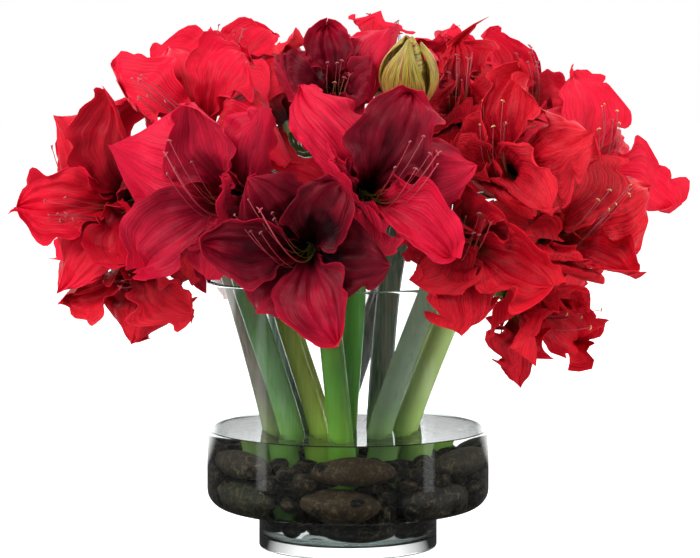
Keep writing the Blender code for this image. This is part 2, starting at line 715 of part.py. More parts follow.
def bud_tepal_point(bud, index, u, v):
    """A point of the sheet that wraps a third of the bud and hugs its core."""
    forward, side, up = axes_of(bud)
    turn = math.radians(bud.roll + 360 * index / BUD_TEPALS) + u * (1 - BUD_TAPER * v**2.4)
    ray = side * math.cos(turn) + up * math.sin(turn)
    length = bud.length * MM
    swell = math.sin(math.pi * (0.14 + 0.8 * v)) ** 0.8
    out = length * (BUD_NECK + BUD_BULGE * swell) + BUD_STEP * (1 + 0.9 * u + 0.5 * index)
    reach = length * (v * (1 - 0.1 * u * u * v) - 0.08) * (1 + 0.05 * index)
    return Vector(bud.throat) * MM + forward * reach + ray * out


def build_bud_tepal(bud, index, helpers):
    shape = bmesh.new()
    bmesh.ops.create_grid(shape, x_segments=2, y_segments=4, size=1)
    for vertex in shape.verts:
        vertex.co = bud_tepal_point(bud, index, vertex.co.x, (vertex.co.y + 1) / 2)
    bmesh.ops.remove_doubles(shape, verts=shape.verts, dist=0.01 * MM)
    bmesh.ops.triangulate(shape, faces=shape.faces)
    mesh = bpy.data.meshes.new(f"sheet_{bud.name}_{index}")
    shape.to_mesh(mesh)
    shape.free()
    thing = add(mesh.name, mesh, "bud", helpers)
    shell = thing.modifiers.new("Thickness", "SOLIDIFY")
    shell.thickness = BUD_SHEET
    shell.offset = 0
    return thing


def triangle_section(collection):
    """The three-sided outline that thin filaments take."""
    curve = bpy.data.curves.new("filament_section", "CURVE")
    curve.dimensions = "2D"
    spline = curve.splines.new("POLY")
    spline.use_cyclic_u = True
    spline.points.add(2)
    for place, turn in zip(spline.points, (90, 210, 330)):
        place.co = (math.cos(math.radians(turn)), math.sin(math.radians(turn)), 0, 1)
    section = bpy.data.objects.new("filament_section", curve)
    collection.objects.link(section)
    section.hide_render = True
    section.display_type = "WIRE"
    return section


def collection_named(name):
    made = bpy.data.collections.new(name)
    bpy.context.scene.collection.children.link(made)
    return made


def main():
    for thing in list(bpy.data.objects):
        bpy.data.objects.remove(thing)
    parts = collection_named("Amaryllis")
    helpers = collection_named("Pieces to join or cut with")
    guides = collection_named("Guides")
    section = triangle_section(guides)
    build_vase(parts)
    stones = build_stones(parts)
    scapes = build_scapes(parts, helpers)
    build_water(stones, scapes, parts, helpers)
    for bloom in BLOOMS:
        build_bloom(bloom, parts, helpers, section)
    for bud in BUDS:
        build_bud(bud, parts, helpers)


if __name__ == "__main__":
    main()
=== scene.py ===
"""Amaryllis in a footed glass vase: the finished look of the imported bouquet.

Laid out as an add-on and run as a script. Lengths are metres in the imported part's frame: +Z up and
-Y the front. The blooms keep the places, the openings and the cells of the part's solids, and get
broad veined tepals, six stamens and a style each.
"""

import math
import random

import bpy
import numpy as np
from bpy.props import FloatProperty, FloatVectorProperty, IntProperty, PointerProperty
from bpy.types import Operator, Panel, PropertyGroup
from collections import namedtuple
from functools import partial
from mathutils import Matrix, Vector, noise


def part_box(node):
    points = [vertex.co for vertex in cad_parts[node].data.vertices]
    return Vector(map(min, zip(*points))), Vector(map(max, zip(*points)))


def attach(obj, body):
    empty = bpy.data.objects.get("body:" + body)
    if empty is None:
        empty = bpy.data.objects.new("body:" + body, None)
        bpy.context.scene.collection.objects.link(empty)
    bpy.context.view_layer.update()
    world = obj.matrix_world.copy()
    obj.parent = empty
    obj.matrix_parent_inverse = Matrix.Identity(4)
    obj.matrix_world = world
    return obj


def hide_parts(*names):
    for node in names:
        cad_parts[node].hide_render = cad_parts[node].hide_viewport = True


bl_info = {
    "name": "Amaryllis in a Vase",
    "version": (1, 0, 0),
    "blender": (4, 5, 0),
    "location": "3D View > Sidebar > Amaryllis",
    "description": "Builds a bouquet of amaryllis in a footed glass vase over its packed part",
    "category": "Object",
}

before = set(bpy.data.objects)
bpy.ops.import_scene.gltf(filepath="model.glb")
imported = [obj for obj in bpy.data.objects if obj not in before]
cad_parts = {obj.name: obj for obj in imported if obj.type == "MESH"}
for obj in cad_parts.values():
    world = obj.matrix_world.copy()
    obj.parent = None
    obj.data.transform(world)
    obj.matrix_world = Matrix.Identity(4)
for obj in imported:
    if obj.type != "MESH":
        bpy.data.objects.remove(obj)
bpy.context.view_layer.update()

MM = 0.001
UP = Vector((0, 0, 1))

# The vase and its water, as the part has them.
VASE_RADIUS = 125 * MM
VASE_HEIGHT = 238 * MM
VASE_WALL = 4 * MM
CORNER_RADIUS = 16 * MM
FOOT_RADIUS = 79 * MM
FOOT_HEIGHT = 36 * MM
FOOT_FLOOR = 10 * MM
FOOT_CORNER = 6 * MM
FOOT_EDGE = 2 * MM
FOOT_FILLET = 1.5 * MM
WALL_RING = 0.6 * MM
FLOOR_GAP = 0.3 * MM
WATER_OVERLAP = 0.4 * MM
WATER_CLIMB = (4 * MM, 1.4 * MM)
WATER_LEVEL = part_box("water")[1].z

# The scapes: the cut end, where each passes the water's surface and the rim's height, and its crown,
# all in millimetres, with the blooms that it bears and its shade, from slate to pale yellow-green.
SCAPE_END, SCAPE_WATER = 42 * MM, 106 * MM
SCAPE_RADII = (11.5 * MM, 9.5 * MM)
CROWN_CAP = ((3, 8), (5, 4))  # its rounded end: how far over the crown, and the radius there
Scape = namedtuple("Scape", "name end water rim crown heads shade")
SCAPES = (
    Scape("scape_01", (-58, -4), (-65, -6), (-101, -8), (-126, 2, 286), "bm", 0.12),
    Scape("scape_02", (-44, -30), (-49, -34), (-90, -46), (-104, -62, 292), "c", 0.44),
    Scape("scape_03", (-40, 24), (-43, 24), (-70, 42), (-88, 62, 300), "pt", 0.28),
    Scape("scape_04", (-18, -26), (-23, -29), (-62, -22), (-66, -28, 330), "au", 0.70),
    Scape("scape_05", (0, -54), (-6, -58), (-19, -72), (-24, -96, 282), "de", 0.54),
    Scape("scape_06", (-4, 0), (-3, -1), (6, 6), (0, 2, 352), "fvx", 0.50),
    Scape("scape_07", (-8, 36), (-8, 38), (36, 62), (46, 72, 292), "qs", 0.04),
    Scape("scape_08", (26, 12), (27, 13), (38, 18), (62, -8, 338), "hyw", 0.20),
    Scape("scape_09", (22, -25), (28, -27), (74, -50), (92, -84, 284), "kl", 0.36),
    Scape("scape_10", (44, -8), (51, -9), (102, -14), (124, -32, 290), "jg", 0.92),
    Scape("scape_11", (46, 36), (54, 42), (80, 60), (108, 48, 298), "ir", 0.62),
)
STALK_ROOT = 7 * MM
STALK_RISE = 0.35
STALK_SWING = 0.35
STALK_RADII = (5 * MM, 4 * MM, 3.8 * MM)
OVARY_LENGTH = 17 * MM
OVARY_OVERLAP = 0.5 * MM
OVARY_RADII = (3.9 * MM, 5.4 * MM, 6.4 * MM, 6.3 * MM, 5.7 * MM)

# The blooms, as the part places them. Look is the finish of the tepals, frill how wavy their edges
# are, tones how dark or bright each of the six tepals is, from 0 to 9, and lean how far the stamens
# swing sideways and up, as shares of their length.
Bloom = namedtuple("Bloom", "name throat azimuth elevation roll length open layer look frill tones lean")
BLOOMS = (
    Bloom("a", (-120, -112, 366), -16, 50, 0, 120, 104, 3.4, "scarlet", 0.9, "677886", (-0.5, -0.55)),
    Bloom("b", (-184, -98, 312), -32, 4, 8, 106, 92, 3.8, "scarlet", 1.4, "324553", (-0.6, -0.45)),
    Bloom("c", (-86, -160, 320), -34, 0, 32, 116, 92, 4.6, "burgundy", 0.8, "659575", (-0.35, 0.15)),
    Bloom("d", (-31, -180, 279), -14, 0, 0, 96, 88, 6.0, "burgundy", 0.65, "112234", (-0.5, 0.15)),
    Bloom("e", (14, -178, 324), 10, 10, 12, 110, 102, 5.2, "burgundy", 0.9, "539679", (0.42, 0.0)),
    Bloom("f", (-8, -108, 396), -8, 42, 38, 90, 80, 3.6, "burgundy", 0.9, "834354", (0.1, -0.35)),
    Bloom("g", (140, -130, 334), -32, 34, 24, 96, 90, 4.2, "flame", 2.2, "665656", (-0.1, 0.1)),
    Bloom("h", (92, -92, 380), 8, 46, 30, 90, 92, 2.6, "flame", 2.2, "544545", (-0.1, 0.1)),
    Bloom("i", (190, -34, 334), 58, 28, 10, 104, 92, 2.4, "scarlet", 1.0, "789889", (0.2, 0.15)),
    Bloom("j", (160, -122, 282), 28, 16, 12, 132, 90, 3.3, "green_throated", 1.9, "978766", (0.35, 0.15)),
    Bloom("k", (90, -160, 284), 14, 4, 30, 100, 90, 4.0, "green_throated", 1.9, "434465", (-0.1, 0.0)),
    Bloom("l", (140, -128, 234), 50, -14, 28, 88, 90, 3.6, "green_throated", 1.4, "676656", (0.6, -0.3)),
    Bloom("m", (-168, -92, 260), -28, -2, 28, 94, 92, 3.0, "flame", 1.8, "445544", (-0.2, -0.2)),
    Bloom("p", (-196, 46, 314), -108, 6, 0, 110, 92, 2.0, "scarlet", 1.2, "565656", (0, 0)),
    Bloom("q", (2, 164, 300), 178, 2, 20, 112, 96, 3.4, "scarlet", 0.9, "676656", (0, 0)),
    Bloom("r", (166, 78, 296), 116, 0, 10, 110, 94, 2.4, "flame", 1.5, "665656", (0, 0)),
    Bloom("s", (92, 112, 356), 146, 28, 35, 110, 94, 2.8, "scarlet", 1.0, "766676", (0, 0)),
    Bloom("t", (-112, 128, 300), -146, 0, 25, 110, 94, 2.6, "burgundy", 0.6, "435353", (0, 0)),
    Bloom("u", (-106, 2, 394), -20, 66, 5, 106, 86, 1.6, "scarlet", 0.8, "565757", (0, 0)),
    Bloom("v", (32, 30, 404), 160, 76, 15, 102, 92, 1.8, "scarlet", 0.8, "767676", (0, 0)),
    Bloom("w", (138, 10, 374), 72, 50, 30, 106, 90, 1.8, "scarlet", 1.0, "756765", (0, 0)),
    Bloom("x", (-52, 100, 372), -164, 42, 10, 108, 94, 2.0, "flame", 1.2, "555555", (0, 0)),
)
# How much more some tepals open than their cells ask, in degrees, and their share of length.
CHANGES = {
    "a0": (14, 1.35), "a3": (20, 1.25), "a4": (26, 1.4), "a5": (10, 1.25), "b1": (22, 1.3),
    "c1": (0, 0.85), "c0": (-10, 1.3), "c2": (6, 1.2), "f3": (25, 1.35), "f2": (10, 1.2), "f1": (0, 0.78),
    "f0": (-8, 1.2), "v0": (-25, 1), "v1": (-30, 1), "v2": (-25, 1), "g3": (12, 1.25), "h1": (0, 0.8),
    "i2": (10, 1.25), "j2": (8, 1.25), "k0": (10, 1.25), "d4": (0, 0.9), "e2": (8, 1.25), "m3": (0, 0.85),
    "m4": (0, 0.85), "m5": (0, 0.85), "p1": (-20, 0.75),
}
BUDS = (Bloom("y", (50, -134, 400), 8, 66, 0, 58, 20, 3.0, "bud", 0, "555555", (0, 0)),)

# One bloom, as the part draws it.
TUBE_LENGTH = 16 * MM
TUBE_EDGE = 9.6 * MM
TEPALS = 6
TEPAL_WIDTH = 0.78
TEPAL_BASE = 0.17
TEPAL_WIDEST = 0.6
TEPAL_WRAP = 0.9
TEPAL_ROOT = 5 * MM
TEPAL_INSET = 2.6 * MM
TEPAL_SHARES = (1, 0.92, 0.84)
FIT_PLACES = ((0, 0.6), (0, 0.8), (0, 1), (-0.8, 0.55), (0.8, 0.55), (-0.8, 0.8), (0.8, 0.8))
FIT_OPENINGS = (50, 122)
FIT_CHANGES = range(-66, 37, 6)
FIT_MARGIN = 8 * MM
FIT_COSTS = (0.7, 90, 0.4)
FUNNEL_ANGLE = 20
FLARE_HASTE = 1.08
OUTER_STEP = 2.2 * MM
OUTER_DROP = 4 * MM
OUTER_MORE_OPEN = 10
RUFFLE = 1.6 * MM
ARCH = 3 * MM
BLOOM_SEED = 11

# What the scene adds to each tepal, and the width on which the veins' spacing counts.
PETAL_WIDTH = 85 * MM
BLADE_COLUMNS, BLADE_ROWS = 30, 40
BLADE_MORE_WIDTH = 1.14  # broader than the solid's, whose corners are cut
RIB_DEPTH = 3.4 * MM
PLEAT_DEPTH = 1.6 * MM
EDGE_FRILL = 4.5 * MM
EDGE_RIPPLE = 7.5 * MM
CRUMPLE = 3.4 * MM
FOLD = 9 * MM
TIP_CURL = (-5 * MM, 17 * MM)
WARP = 7 * MM

# The stamens and the style.
STAMENS = 6
STAMEN_LENGTH = 0.74
STAMEN_ROOT = 4 * MM
STAMEN_RING = 3.4 * MM
STAMEN_SAG, STAMEN_LIFT = 0.16, 0.30
STAMEN_FAN = 0.13
STAMEN_STEPS = 14
STAMEN_CLEARANCE = 1.4 * MM
STYLE_MORE_LENGTH = 1.12
RIPE = "gijl"
FILAMENT_RADII = (0.7 * MM, 0.44 * MM, 0.32 * MM)
STYLE_RADII = (0.9 * MM, 0.5 * MM)
STIGMA_TURNS = (0.4, 2.5, 4.6)
STIGMA_RADII = (0.6 * MM, 0.65 * MM, 0.3 * MM)
ANTHER_LENGTH = 4.4 * MM
# An anther's thickness: the place on its length, from -1 to 1, and the radius there in millimetres.
ANTHER = ((-1, 0.12), (-0.75, 0.5), (-0.35, 0.7), (0, 0.75), (0.35, 0.7), (0.75, 0.5), (1, 0.12))

# The floral tube: the place on its axis from the throat, and the radius there, in millimetres.
TUBE = ((-16, 5.6), (-15, 6.0), (-11, 6.6), (-7, 8.0), (-4.5, 8.9), (-4, 8.2))
TUBE_GRADE = 100 * MM

# A bud's core and the sheets that wrap it.
BUD_TEPALS = 3
BUD_STEP = 0.7 * MM
BUD_NECK, BUD_BULGE, BUD_TAPER = 0.02, 0.37, 0.62
BUD_SHEET = 1.2 * MM
BUD_CORE = ((0, 0.1), (0.18, 0.19), (0.4, 0.26), (0.65, 0.24), (0.86, 0.13), (1, 0.02))

# How the cells part neighbouring blooms.
CELL_CLEARANCE = 0.6 * MM
CELL_STEP = 0.8 * MM
CELL_SOFTNESS = 26 * MM
CELL_REACH = 250 * MM
CELL_TUBE_ROOM = 10 * MM
CELL_LIFT = 12 * MM
CELL_SLANT = 0.9
CELL_MOST_SLANT = 1.3
BUD_SHARE = 0.62
RIM_CLEARANCE = 4 * MM
RIM_SLANT = 32

# The stones. The small ones' sizes, and their heights in the body and in the foot, are in
# millimetres. They keep a share of their size off what stands there and off each other.
STONES = [name for name in sorted(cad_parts) if name.startswith("stone_")]
STONE_SWELL = 1.03
STONE_ROOM = 16 * MM
PEBBLE_SEED = 5
PEBBLE_TRIES = 14000
PEBBLE_SIZES = (7, 12.5)
PEBBLE_SIDES = (1.15, 0.95, 0.7)
PEBBLE_LUMPS = 0.14
PEBBLE_FOOT_SHARE = 0.24
PEBBLE_HEIGHTS = ((46, 84), (18, 50))
PEBBLE_CLEARANCE, PEBBLES_APART = 0.75, 0.8

# The lamps: name, place, size and power in watts. The key light's power is a setting.
LAMPS = (
    ("key", (-1.3, -1.9, 2.0), (1.5, 1.5), None),
    ("left_fill", (-1.7, -0.7, 0.95), (0.3, 1.5), 13),
    ("right_fill", (1.7, -0.7, 0.95), (0.3, 1.5), 20),
    ("left_strip", (-0.48, -0.21, 0.22), (0.08, 0.9), 0.16),
    ("right_strip", (0.46, -0.25, 0.22), (0.08, 0.9), 0.14),
    ("top", (0.3, 0.2, 2.4), (1.6, 1.6), 20),
    ("back_left", (-1.4, 1.8, 1.5), (1.2, 1.2), 16),
    ("back_right", (1.5, 1.7, 1.5), (1.2, 1.2), 16),
)
LAMP_AIM = (0, 0, 0.26)
CAMERA_PLACE, CAMERA_AIM = (0.0018, -2.755, 0.4883), (0.0018, 0, 0.2375)
CAMERA_LENS, CAMERA_SENSOR = 161, 36


def linear(colour):
    """A hex sRGB colour as linear red, green, blue and alpha."""
    values = [int(colour[place : place + 2], 16) / 255 for place in (1, 3, 5)]
    return (*[v / 12.92 if v <= 0.04045 else ((v + 0.055) / 1.055) ** 2.4 for v in values], 1)


class SizeSettings(PropertyGroup):
    water_level: FloatProperty(
        name="Water level", description="Height of the water's surface", default=WATER_LEVEL, unit="LENGTH"
    )
    petal_thickness: FloatProperty(
        name="Petal thickness", description="Thickness of a tepal", default=0.5 * MM, unit="LENGTH"
    )
    vein_spacing: FloatProperty(
        name="Vein spacing", description="Between veins at the widest", default=1.5 * MM, unit="LENGTH"
    )
    pebbles: IntProperty(name="Pebbles", description="Small stones between the large ones", default=300)


class ColourSettings(PropertyGroup):
    scarlet: FloatVectorProperty(
        name="Scarlet", description="Bright petals", subtype="COLOR", size=4, default=linear("#C40822")
    )
    burgundy: FloatVectorProperty(
        name="Burgundy", description="Dark petals", subtype="COLOR", size=4, default=linear("#920826")
    )
    flame: FloatVectorProperty(
        name="Flame red", description="Warm wavy petals", subtype="COLOR", size=4, default=linear("#C00820")
    )
    key_light: FloatProperty(
        name="Key light", description="Power of the main softbox", default=60, unit="POWER"
    )


def select_only(*things):
    bpy.ops.object.select_all(action="DESELECT")
    for thing in things:
        thing.select_set(True)
    bpy.context.view_layer.objects.active = things[0]


def primitive(kind, **sizes):
    """A primitive that is selected alone."""
    bpy.ops.object.select_all(action="DESELECT")
    getattr(bpy.ops.mesh, f"primitive_{kind}_add")(**sizes)
    return bpy.context.view_layer.objects.active


def placed(name, data):
    """A new object in the scene."""
    thing = bpy.data.objects.new(name, data)
    bpy.context.scene.collection.objects.link(thing)
    return thing


def apply_modifiers(thing):
    select_only(thing)
    for modifier in list(thing.modifiers):
        bpy.ops.object.modifier_apply(modifier=modifier.name)


def close_and_face_out(thing, distance=0.004 * MM):
    """Welds the caps of a tube or the poles of a turned shape and points its faces outwards."""
    select_only(thing)
    bpy.ops.object.mode_set(mode="EDIT")
    bpy.ops.mesh.select_all(action="SELECT")
    bpy.ops.mesh.remove_doubles(threshold=distance)
    bpy.ops.mesh.normals_make_consistent(inside=False)
    bpy.ops.object.mode_set(mode="OBJECT")


def smooth(thing, angle=60):
    select_only(thing)
    bpy.ops.object.shade_smooth_by_angle(angle=math.radians(angle))


def dress(piece, slot, *nodes):
    """The piece rides on the one body and stands for the part's nodes. Its slot is not used."""
    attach(piece, "root")
    if nodes:
        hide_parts(*nodes)


def join(name, things, slot, *nodes):
    """Things joined to one smooth and dressed piece, with its place in its mesh."""
    select_only(*things)
    bpy.ops.object.join()
    piece = bpy.context.view_layer.objects.active
    piece.name = piece.data.name = name
    smooth(piece)
    dress(piece, slot, *nodes)


def points_of(mesh):
    points = np.empty(len(mesh.vertices) * 3)
    mesh.vertices.foreach_get("co", points)
    return points.reshape(-1, 3)


def set_points(mesh, points):
    mesh.vertices.foreach_set("co", np.asarray(points, np.float32).ravel())
    mesh.update()


def mark(mesh, **values):
    """Writes a number or an array of numbers as a named attribute of a mesh's points."""
    for name, value in values.items():
        attribute = mesh.attributes.get(name) or mesh.attributes.new(name, "FLOAT", "POINT")
        attribute.data.foreach_set("value", np.broadcast_to(value, len(mesh.vertices)).astype(np.float32))


def smoothstep(value):
    value = np.clip(value, 0, 1)
    return value * value * (3 - 2 * value)


def noise_at(points, scale, seed):
    """Smooth noise from -1 to 1 at each point."""
    shift = Vector((seed, 0.7 * seed, 0))
    return np.array([noise.noise(Vector(point) * scale + shift) for point in points])


# Materials. Each is named for the real one, and its comment says what that gives the eye.


def node(tree, kind, inputs=(), stops=(), **settings):
    """Adds a shader node with its settings, its ramp's stops, and its inputs' values and links.

    The inputs are a list from the first one on, or a dictionary by place or by name.
    """
    made = tree.nodes.new("ShaderNode" + kind)
    for name, value in settings.items():
        setattr(made, name, value)
    for index, (place, colour) in enumerate(stops):
        ramp = made.color_ramp.elements
        stop = ramp[index] if index < 2 else ramp.new(place)
        stop.position = place
        if isinstance(colour, str):
            colour = linear(colour)
        stop.color = colour if hasattr(colour, "__len__") else (colour, colour, colour, 1)
    for key, value in inputs.items() if isinstance(inputs, dict) else enumerate(inputs):
        if isinstance(value, bpy.types.NodeSocket):
            tree.links.new(value, made.inputs[key])
        else:
            made.inputs[key].default_value = value
    return made.outputs


def new_material(name, **sockets):
    """A material with its Principled shader's fixed sockets set, and the function that adds its nodes."""
    made = bpy.data.materials.new(name)
    made.use_nodes = True
    shader = made.node_tree.nodes["Principled BSDF"]
    for socket, value in sockets.items():
        shader.inputs[socket.replace("_", " ")].default_value = value
    return made, partial(node, made.node_tree)


def linked(made, to="Principled BSDF", **sockets):
    """The material with outputs linked to sockets of its shader."""
    for socket, output in sockets.items():
        target = made.node_tree.nodes[to].inputs[socket.replace("_", " ")]
        made.node_tree.links.new(output, target)
    return made


def petal_finish(name, blade, deep, bright, throat, veining, speckle):
    """Amaryllis tepal: silky, with a velvet bloom on its surface that brightens it where it turns away.

    Fine darker veins run from root to tip, closer together at both ends, and the throat is stained and
    darkened with painted shade.
    """
    sheen = {"Sheen_Weight": 0.04, "Sheen_Roughness": 0.3, "Sheen_Tint": linear("#FF2A4C")}
    made, add = new_material(name, Roughness=0.5, Specular_IOR_Level=0.12, **sheen)
    tone, seed = (add("Attribute", attribute_name=value)["Fac"] for value in ("tone", "seed"))
    across, along, _ = add("SeparateXYZ", [add("UVMap", uv_map="UVMap")[0]])
    own = add("CombineXYZ", [across, along, seed])[0]
    # Lengthwise strands, short flecks and broad clouds: how often each comes across and along a
    # tepal, and its detail and roughness.
    cells = PETAL_WIDTH / bpy.context.scene.amaryllis_sizes.vein_spacing
    patterns = []
    for scale, detail, rough in (
        ((cells, 0.8, 3), 2, 0.5),
        ((cells * 1.5, 26, 3), 2, 0.6),
        ((3, 2.4, 3), 6, 0.62),
    ):
        place = add("Mapping", {0: own, 3: scale})[0]
        pattern = add("TexNoise", {"Vector": place, "Scale": 1, "Detail": detail, "Roughness": rough})
        patterns.append(pattern[0])
    fibres, flecks, clouds = patterns
    veins = add("ValToRGB", [fibres], stops=((0.43, 0), (0.48, 1), (0.52, 1), (0.57, 0)))[0]
    flecks = add("ValToRGB", [flecks], stops=((0.5, 0), (0.68, 1)))[0]
    # A tepal has its own tone, is cloudy and is paler towards its tip; a painted glow of light shining
    # through lightens its rim and tip.
    off_middle = add("Math", [across, 2, -1], operation="MULTIPLY_ADD")[0]
    off_middle = add("Math", [off_middle], operation="ABSOLUTE")[0]
    edge = add("Math", [off_middle, 13], operation="POWER")[0]
    tip = add("Math", [along, 14], operation="POWER")[0]
    rim = add("Math", [edge, tip], operation="MAXIMUM")[0]
    shade = -0.71
    for value, share in ((clouds, 0.85), (tone, 1), (along, 0.52), (rim, 0.26)):
        shade = add("Math", [value, share, shade], operation="MULTIPLY_ADD")[0]
    colour = add("ValToRGB", [shade], stops=((0.05, deep), (0.5, blade), (0.95, bright)))[0]
    # The veins and flecks are strongest near the throat and fade towards the edges.
    inner = add("MapRange", [along, 0.1, 0.95, 1, 0.35], interpolation_type="SMOOTHSTEP")[0]
    for pattern, share in ((veins, veining), (flecks, speckle)):
        pattern = add("Math", [pattern, inner], operation="MULTIPLY")[0]
        pattern = add("Math", [pattern, share], operation="MULTIPLY")[0]
        colour = add("Mix", {0: pattern, 6: colour, 7: linear(deep)}, data_type="RGBA")[2]
    # The throat's stain, partly its own colour and partly painted shade in its hollow, is ragged, and
    # reaches further along the middle of the tepal.
    reach = 0.29
    for value, share in ((off_middle, -0.16), (fibres, 0.22)):
        reach = add("Math", [value, share, reach], operation="MULTIPLY_ADD")[0]
    throat_stain_and_shade = add("MapRange", [along, 0.06, reach, 1, 0], interpolation_type="SMOOTHSTEP")[0]
    colour = add("Mix", {0: throat_stain_and_shade, 6: colour, 7: linear(throat)}, data_type="RGBA")[2]
    bump = add("Bump", {"Strength": 0.8, "Distance": 0.8 * MM, "Height": fibres})[0]
    return linked(made, Base_Color=colour, Normal=bump)


def fleshy_finish(name, stops):
    """Soft satin flesh whose colour changes along it: a filament's or a floral tube's."""
    made, add = new_material(name, Roughness=0.4)
    along = add("Attribute", attribute_name="along")["Fac"]
    return linked(made, Base_Color=add("ValToRGB", [along], stops=stops)[0])


def anther_finish():
    """Anther: a crumbly crust of pollen, quite matt: dusky pink when young and cream-yellow when ripe."""
    made, add = new_material("anther", Roughness=0.9)
    grains = add("TexNoise", {"Vector": add("TexCoord")["Object"], "Scale": 1200, "Detail": 2})[0]
    young = add("ValToRGB", [grains], stops=((0.3, "#7A2C30"), (0.7, "#C8787A")))[0]
    ripe = add("ValToRGB", [grains], stops=((0.3, "#C88A3C"), (0.7, "#F4D8A0")))[0]
    ripeness = add("Attribute", attribute_name="tone")["Fac"]
    colour = add("Mix", {0: ripeness, 6: young, 7: ripe}, data_type="RGBA")[2]
    bump = add("Bump", {"Strength": 0.6, "Distance": 0.3 * MM, "Height": grains})[0]
    return linked(made, Base_Color=colour, Normal=bump)


def scape_finish():
    """Amaryllis scape: smooth flesh under a thin wax, satin, with faint lengthwise shading.

    Its shade runs from slate over blue-green and leaf green to a pale yellow-green. Under water it
    is paler, near the crown it is a dark red-brown, partly its own tinge and partly painted shade of the
    gaps among the blooms, and all over it is a little mottled.
    """
    made, add = new_material("waxy_scape", Roughness=0.2, Specular_IOR_Level=0.7)
    shade = add("Attribute", attribute_name="tone")["Fac"]
    place = add("TexCoord")["Object"]
    height = add("SeparateXYZ", [place])[2]
    streaks = add("Mapping", {0: place, 3: (420, 420, 14)})[0]
    lines = add("TexNoise", {"Vector": streaks, "Scale": 1, "Detail": 3})[0]
    patches = add("TexNoise", {"Vector": place, "Scale": 26, "Detail": 3})[0]
    shade = add("Math", [lines, 0.16, shade], operation="MULTIPLY_ADD")[0]
    shade = add("Math", [shade, 0.08], operation="SUBTRACT")[0]
    stops = (
        (0.0, "#4A5258"),
        (0.14, "#9A9080"),
        (0.24, "#2E5A4C"),
        (0.36, "#93A68C"),
        (0.5, "#4E9A34"),
        (0.68, "#8A9A34"),
        (0.92, "#B4CC7C"),
    )
    colour = add("ValToRGB", [shade], stops=stops)[0]
    for tint, value, start, end, first, last in (
        ("#8CC43C", height, 0.09, 0.14, 0.55, 0),
        # A dark red-brown near the crown: partly the stalks' own reddish tinge, partly painted shade of the
        # gaps among the blooms.
        ("#2A160E", height, 0.25, 0.305, 0, 0.9),
        ("#2C3A18", patches, 0.3, 0.7, 0, 0.2),
    ):
        share = add("MapRange", [value, start, end, first, last])[0]
        colour = add("Mix", {0: share, 6: colour, 7: linear(tint)}, data_type="RGBA")[2]
    bump = add("Bump", {"Strength": 0.25, "Distance": 0.3 * MM, "Height": lines})[0]
    return linked(made, Base_Color=colour, Normal=bump)


def bract_finish():
    """Spathe bract: papery and half dry, pale green with fine veins and patches of brown."""
    made, add = new_material("papery_bract", Roughness=0.6)
    place = add("Mapping", {0: add("UVMap", uv_map="UVMap")[0], 3: (22, 2, 1)})[0]
    lines = add("TexNoise", {"Vector": place, "Scale": 1, "Detail": 3})[0]
    colour = add("ValToRGB", [lines], stops=((0.3, "#6E7A2C"), (0.52, "#A8AC54"), (0.7, "#9A6A3C")))[0]
    bump = add("Bump", {"Strength": 0.5, "Distance": 0.4 * MM, "Height": lines})[0]
    return linked(made, Base_Color=colour, Normal=bump)


def bud_finish():
    """Closed bud: olive sheets with yellow-green fields and red-brown lengthwise streaks."""
    made, add = new_material("closed_bud", Roughness=0.45, Sheen_Weight=0.1)
    seed = add("Attribute", attribute_name="seed")["Fac"]
    across, along, _ = add("SeparateXYZ", [add("UVMap", uv_map="UVMap")[0]])
    own = add("CombineXYZ", [across, along, seed])[0]
    place = add("Mapping", {0: own, 3: (26, 2.2, 3)})[0]
    lines = add("TexNoise", {"Vector": place, "Scale": 1, "Detail": 3, "Roughness": 0.65})[0]
    stops = ((0.3, "#4A4812"), (0.44, "#8C7C22"), (0.53, "#B8A83C"), (0.6, "#8A4A1C"), (0.72, "#6E1414"))
    colour = add("ValToRGB", [lines], stops=stops)[0]
    low = add("MapRange", [along, 0.1, 0.6, 0.65, 0])[0]
    colour = add("Mix", {0: low, 6: colour, 7: linear("#A02418")}, data_type="RGBA")[2]
    bump = add("Bump", {"Strength": 0.6, "Distance": 0.6 * MM, "Height": lines})[0]
    return linked(made, Base_Color=colour, Normal=bump)


def stone_finish():
    """River stone: dark, worn smooth and wet, some speckled with tan, some crossed by pale scratches."""
    made, add = new_material("wet_river_stone", Roughness=0.45, Specular_IOR_Level=0.06)
    place = add("TexCoord")["Object"]
    tone = add("Attribute", attribute_name="tone")["Fac"]
    stops = (
        (0.0, "#0E0E0E"),
        (0.25, "#3A2C20"),
        (0.45, "#241C18"),
        (0.65, "#30332A"),
        (0.85, "#3A322C"),
        (1.0, "#20262C"),
    )
    colour = add("ValToRGB", [tone], stops=stops)[0]
    mottle = add("TexNoise", {"Vector": place, "Scale": 210, "Detail": 6, "Roughness": 0.8})[0]
    flecks = add("ValToRGB", [mottle], stops=((0.5, 0), (0.66, 0.55)))[0]
    warped = add("TexNoise", {"Vector": place, "Scale": 30, "Detail": 2})[1]
    bent = add("Mix", {0: 0.03, 4: place, 5: warped}, data_type="VECTOR")[1]
    cracks = add("TexVoronoi", {"Vector": bent, "Scale": 52}, feature="DISTANCE_TO_EDGE")["Distance"]
    scratches = add("MapRange", [cracks, 0, 0.03, 0.55, 0])[0]
    breaks = add("TexNoise", {"Vector": place, "Scale": 75, "Detail": 2})[0]
    # Some stones are more scratched than others, and their scratches are broken.
    for value, stops in (
        (tone, ((0.2, 0), (0.3, 0.6), (0.6, 1), (1.0, 0.7))),
        (breaks, ((0.46, 0), (0.58, 1))),
    ):
        share = add("ValToRGB", [value], stops=stops)[0]
        scratches = add("Math", [scratches, share], operation="MULTIPLY")[0]
    for share, tint in ((flecks, "#8A7454"), (scratches, "#A89468")):
        colour = add("Mix", {0: share, 6: colour, 7: linear(tint)}, data_type="RGBA")[2]
    bump = add("Bump", {"Strength": 0.5, "Distance": 0.8 * MM, "Height": mottle})[0]
    return linked(made, Base_Color=colour, Normal=bump)


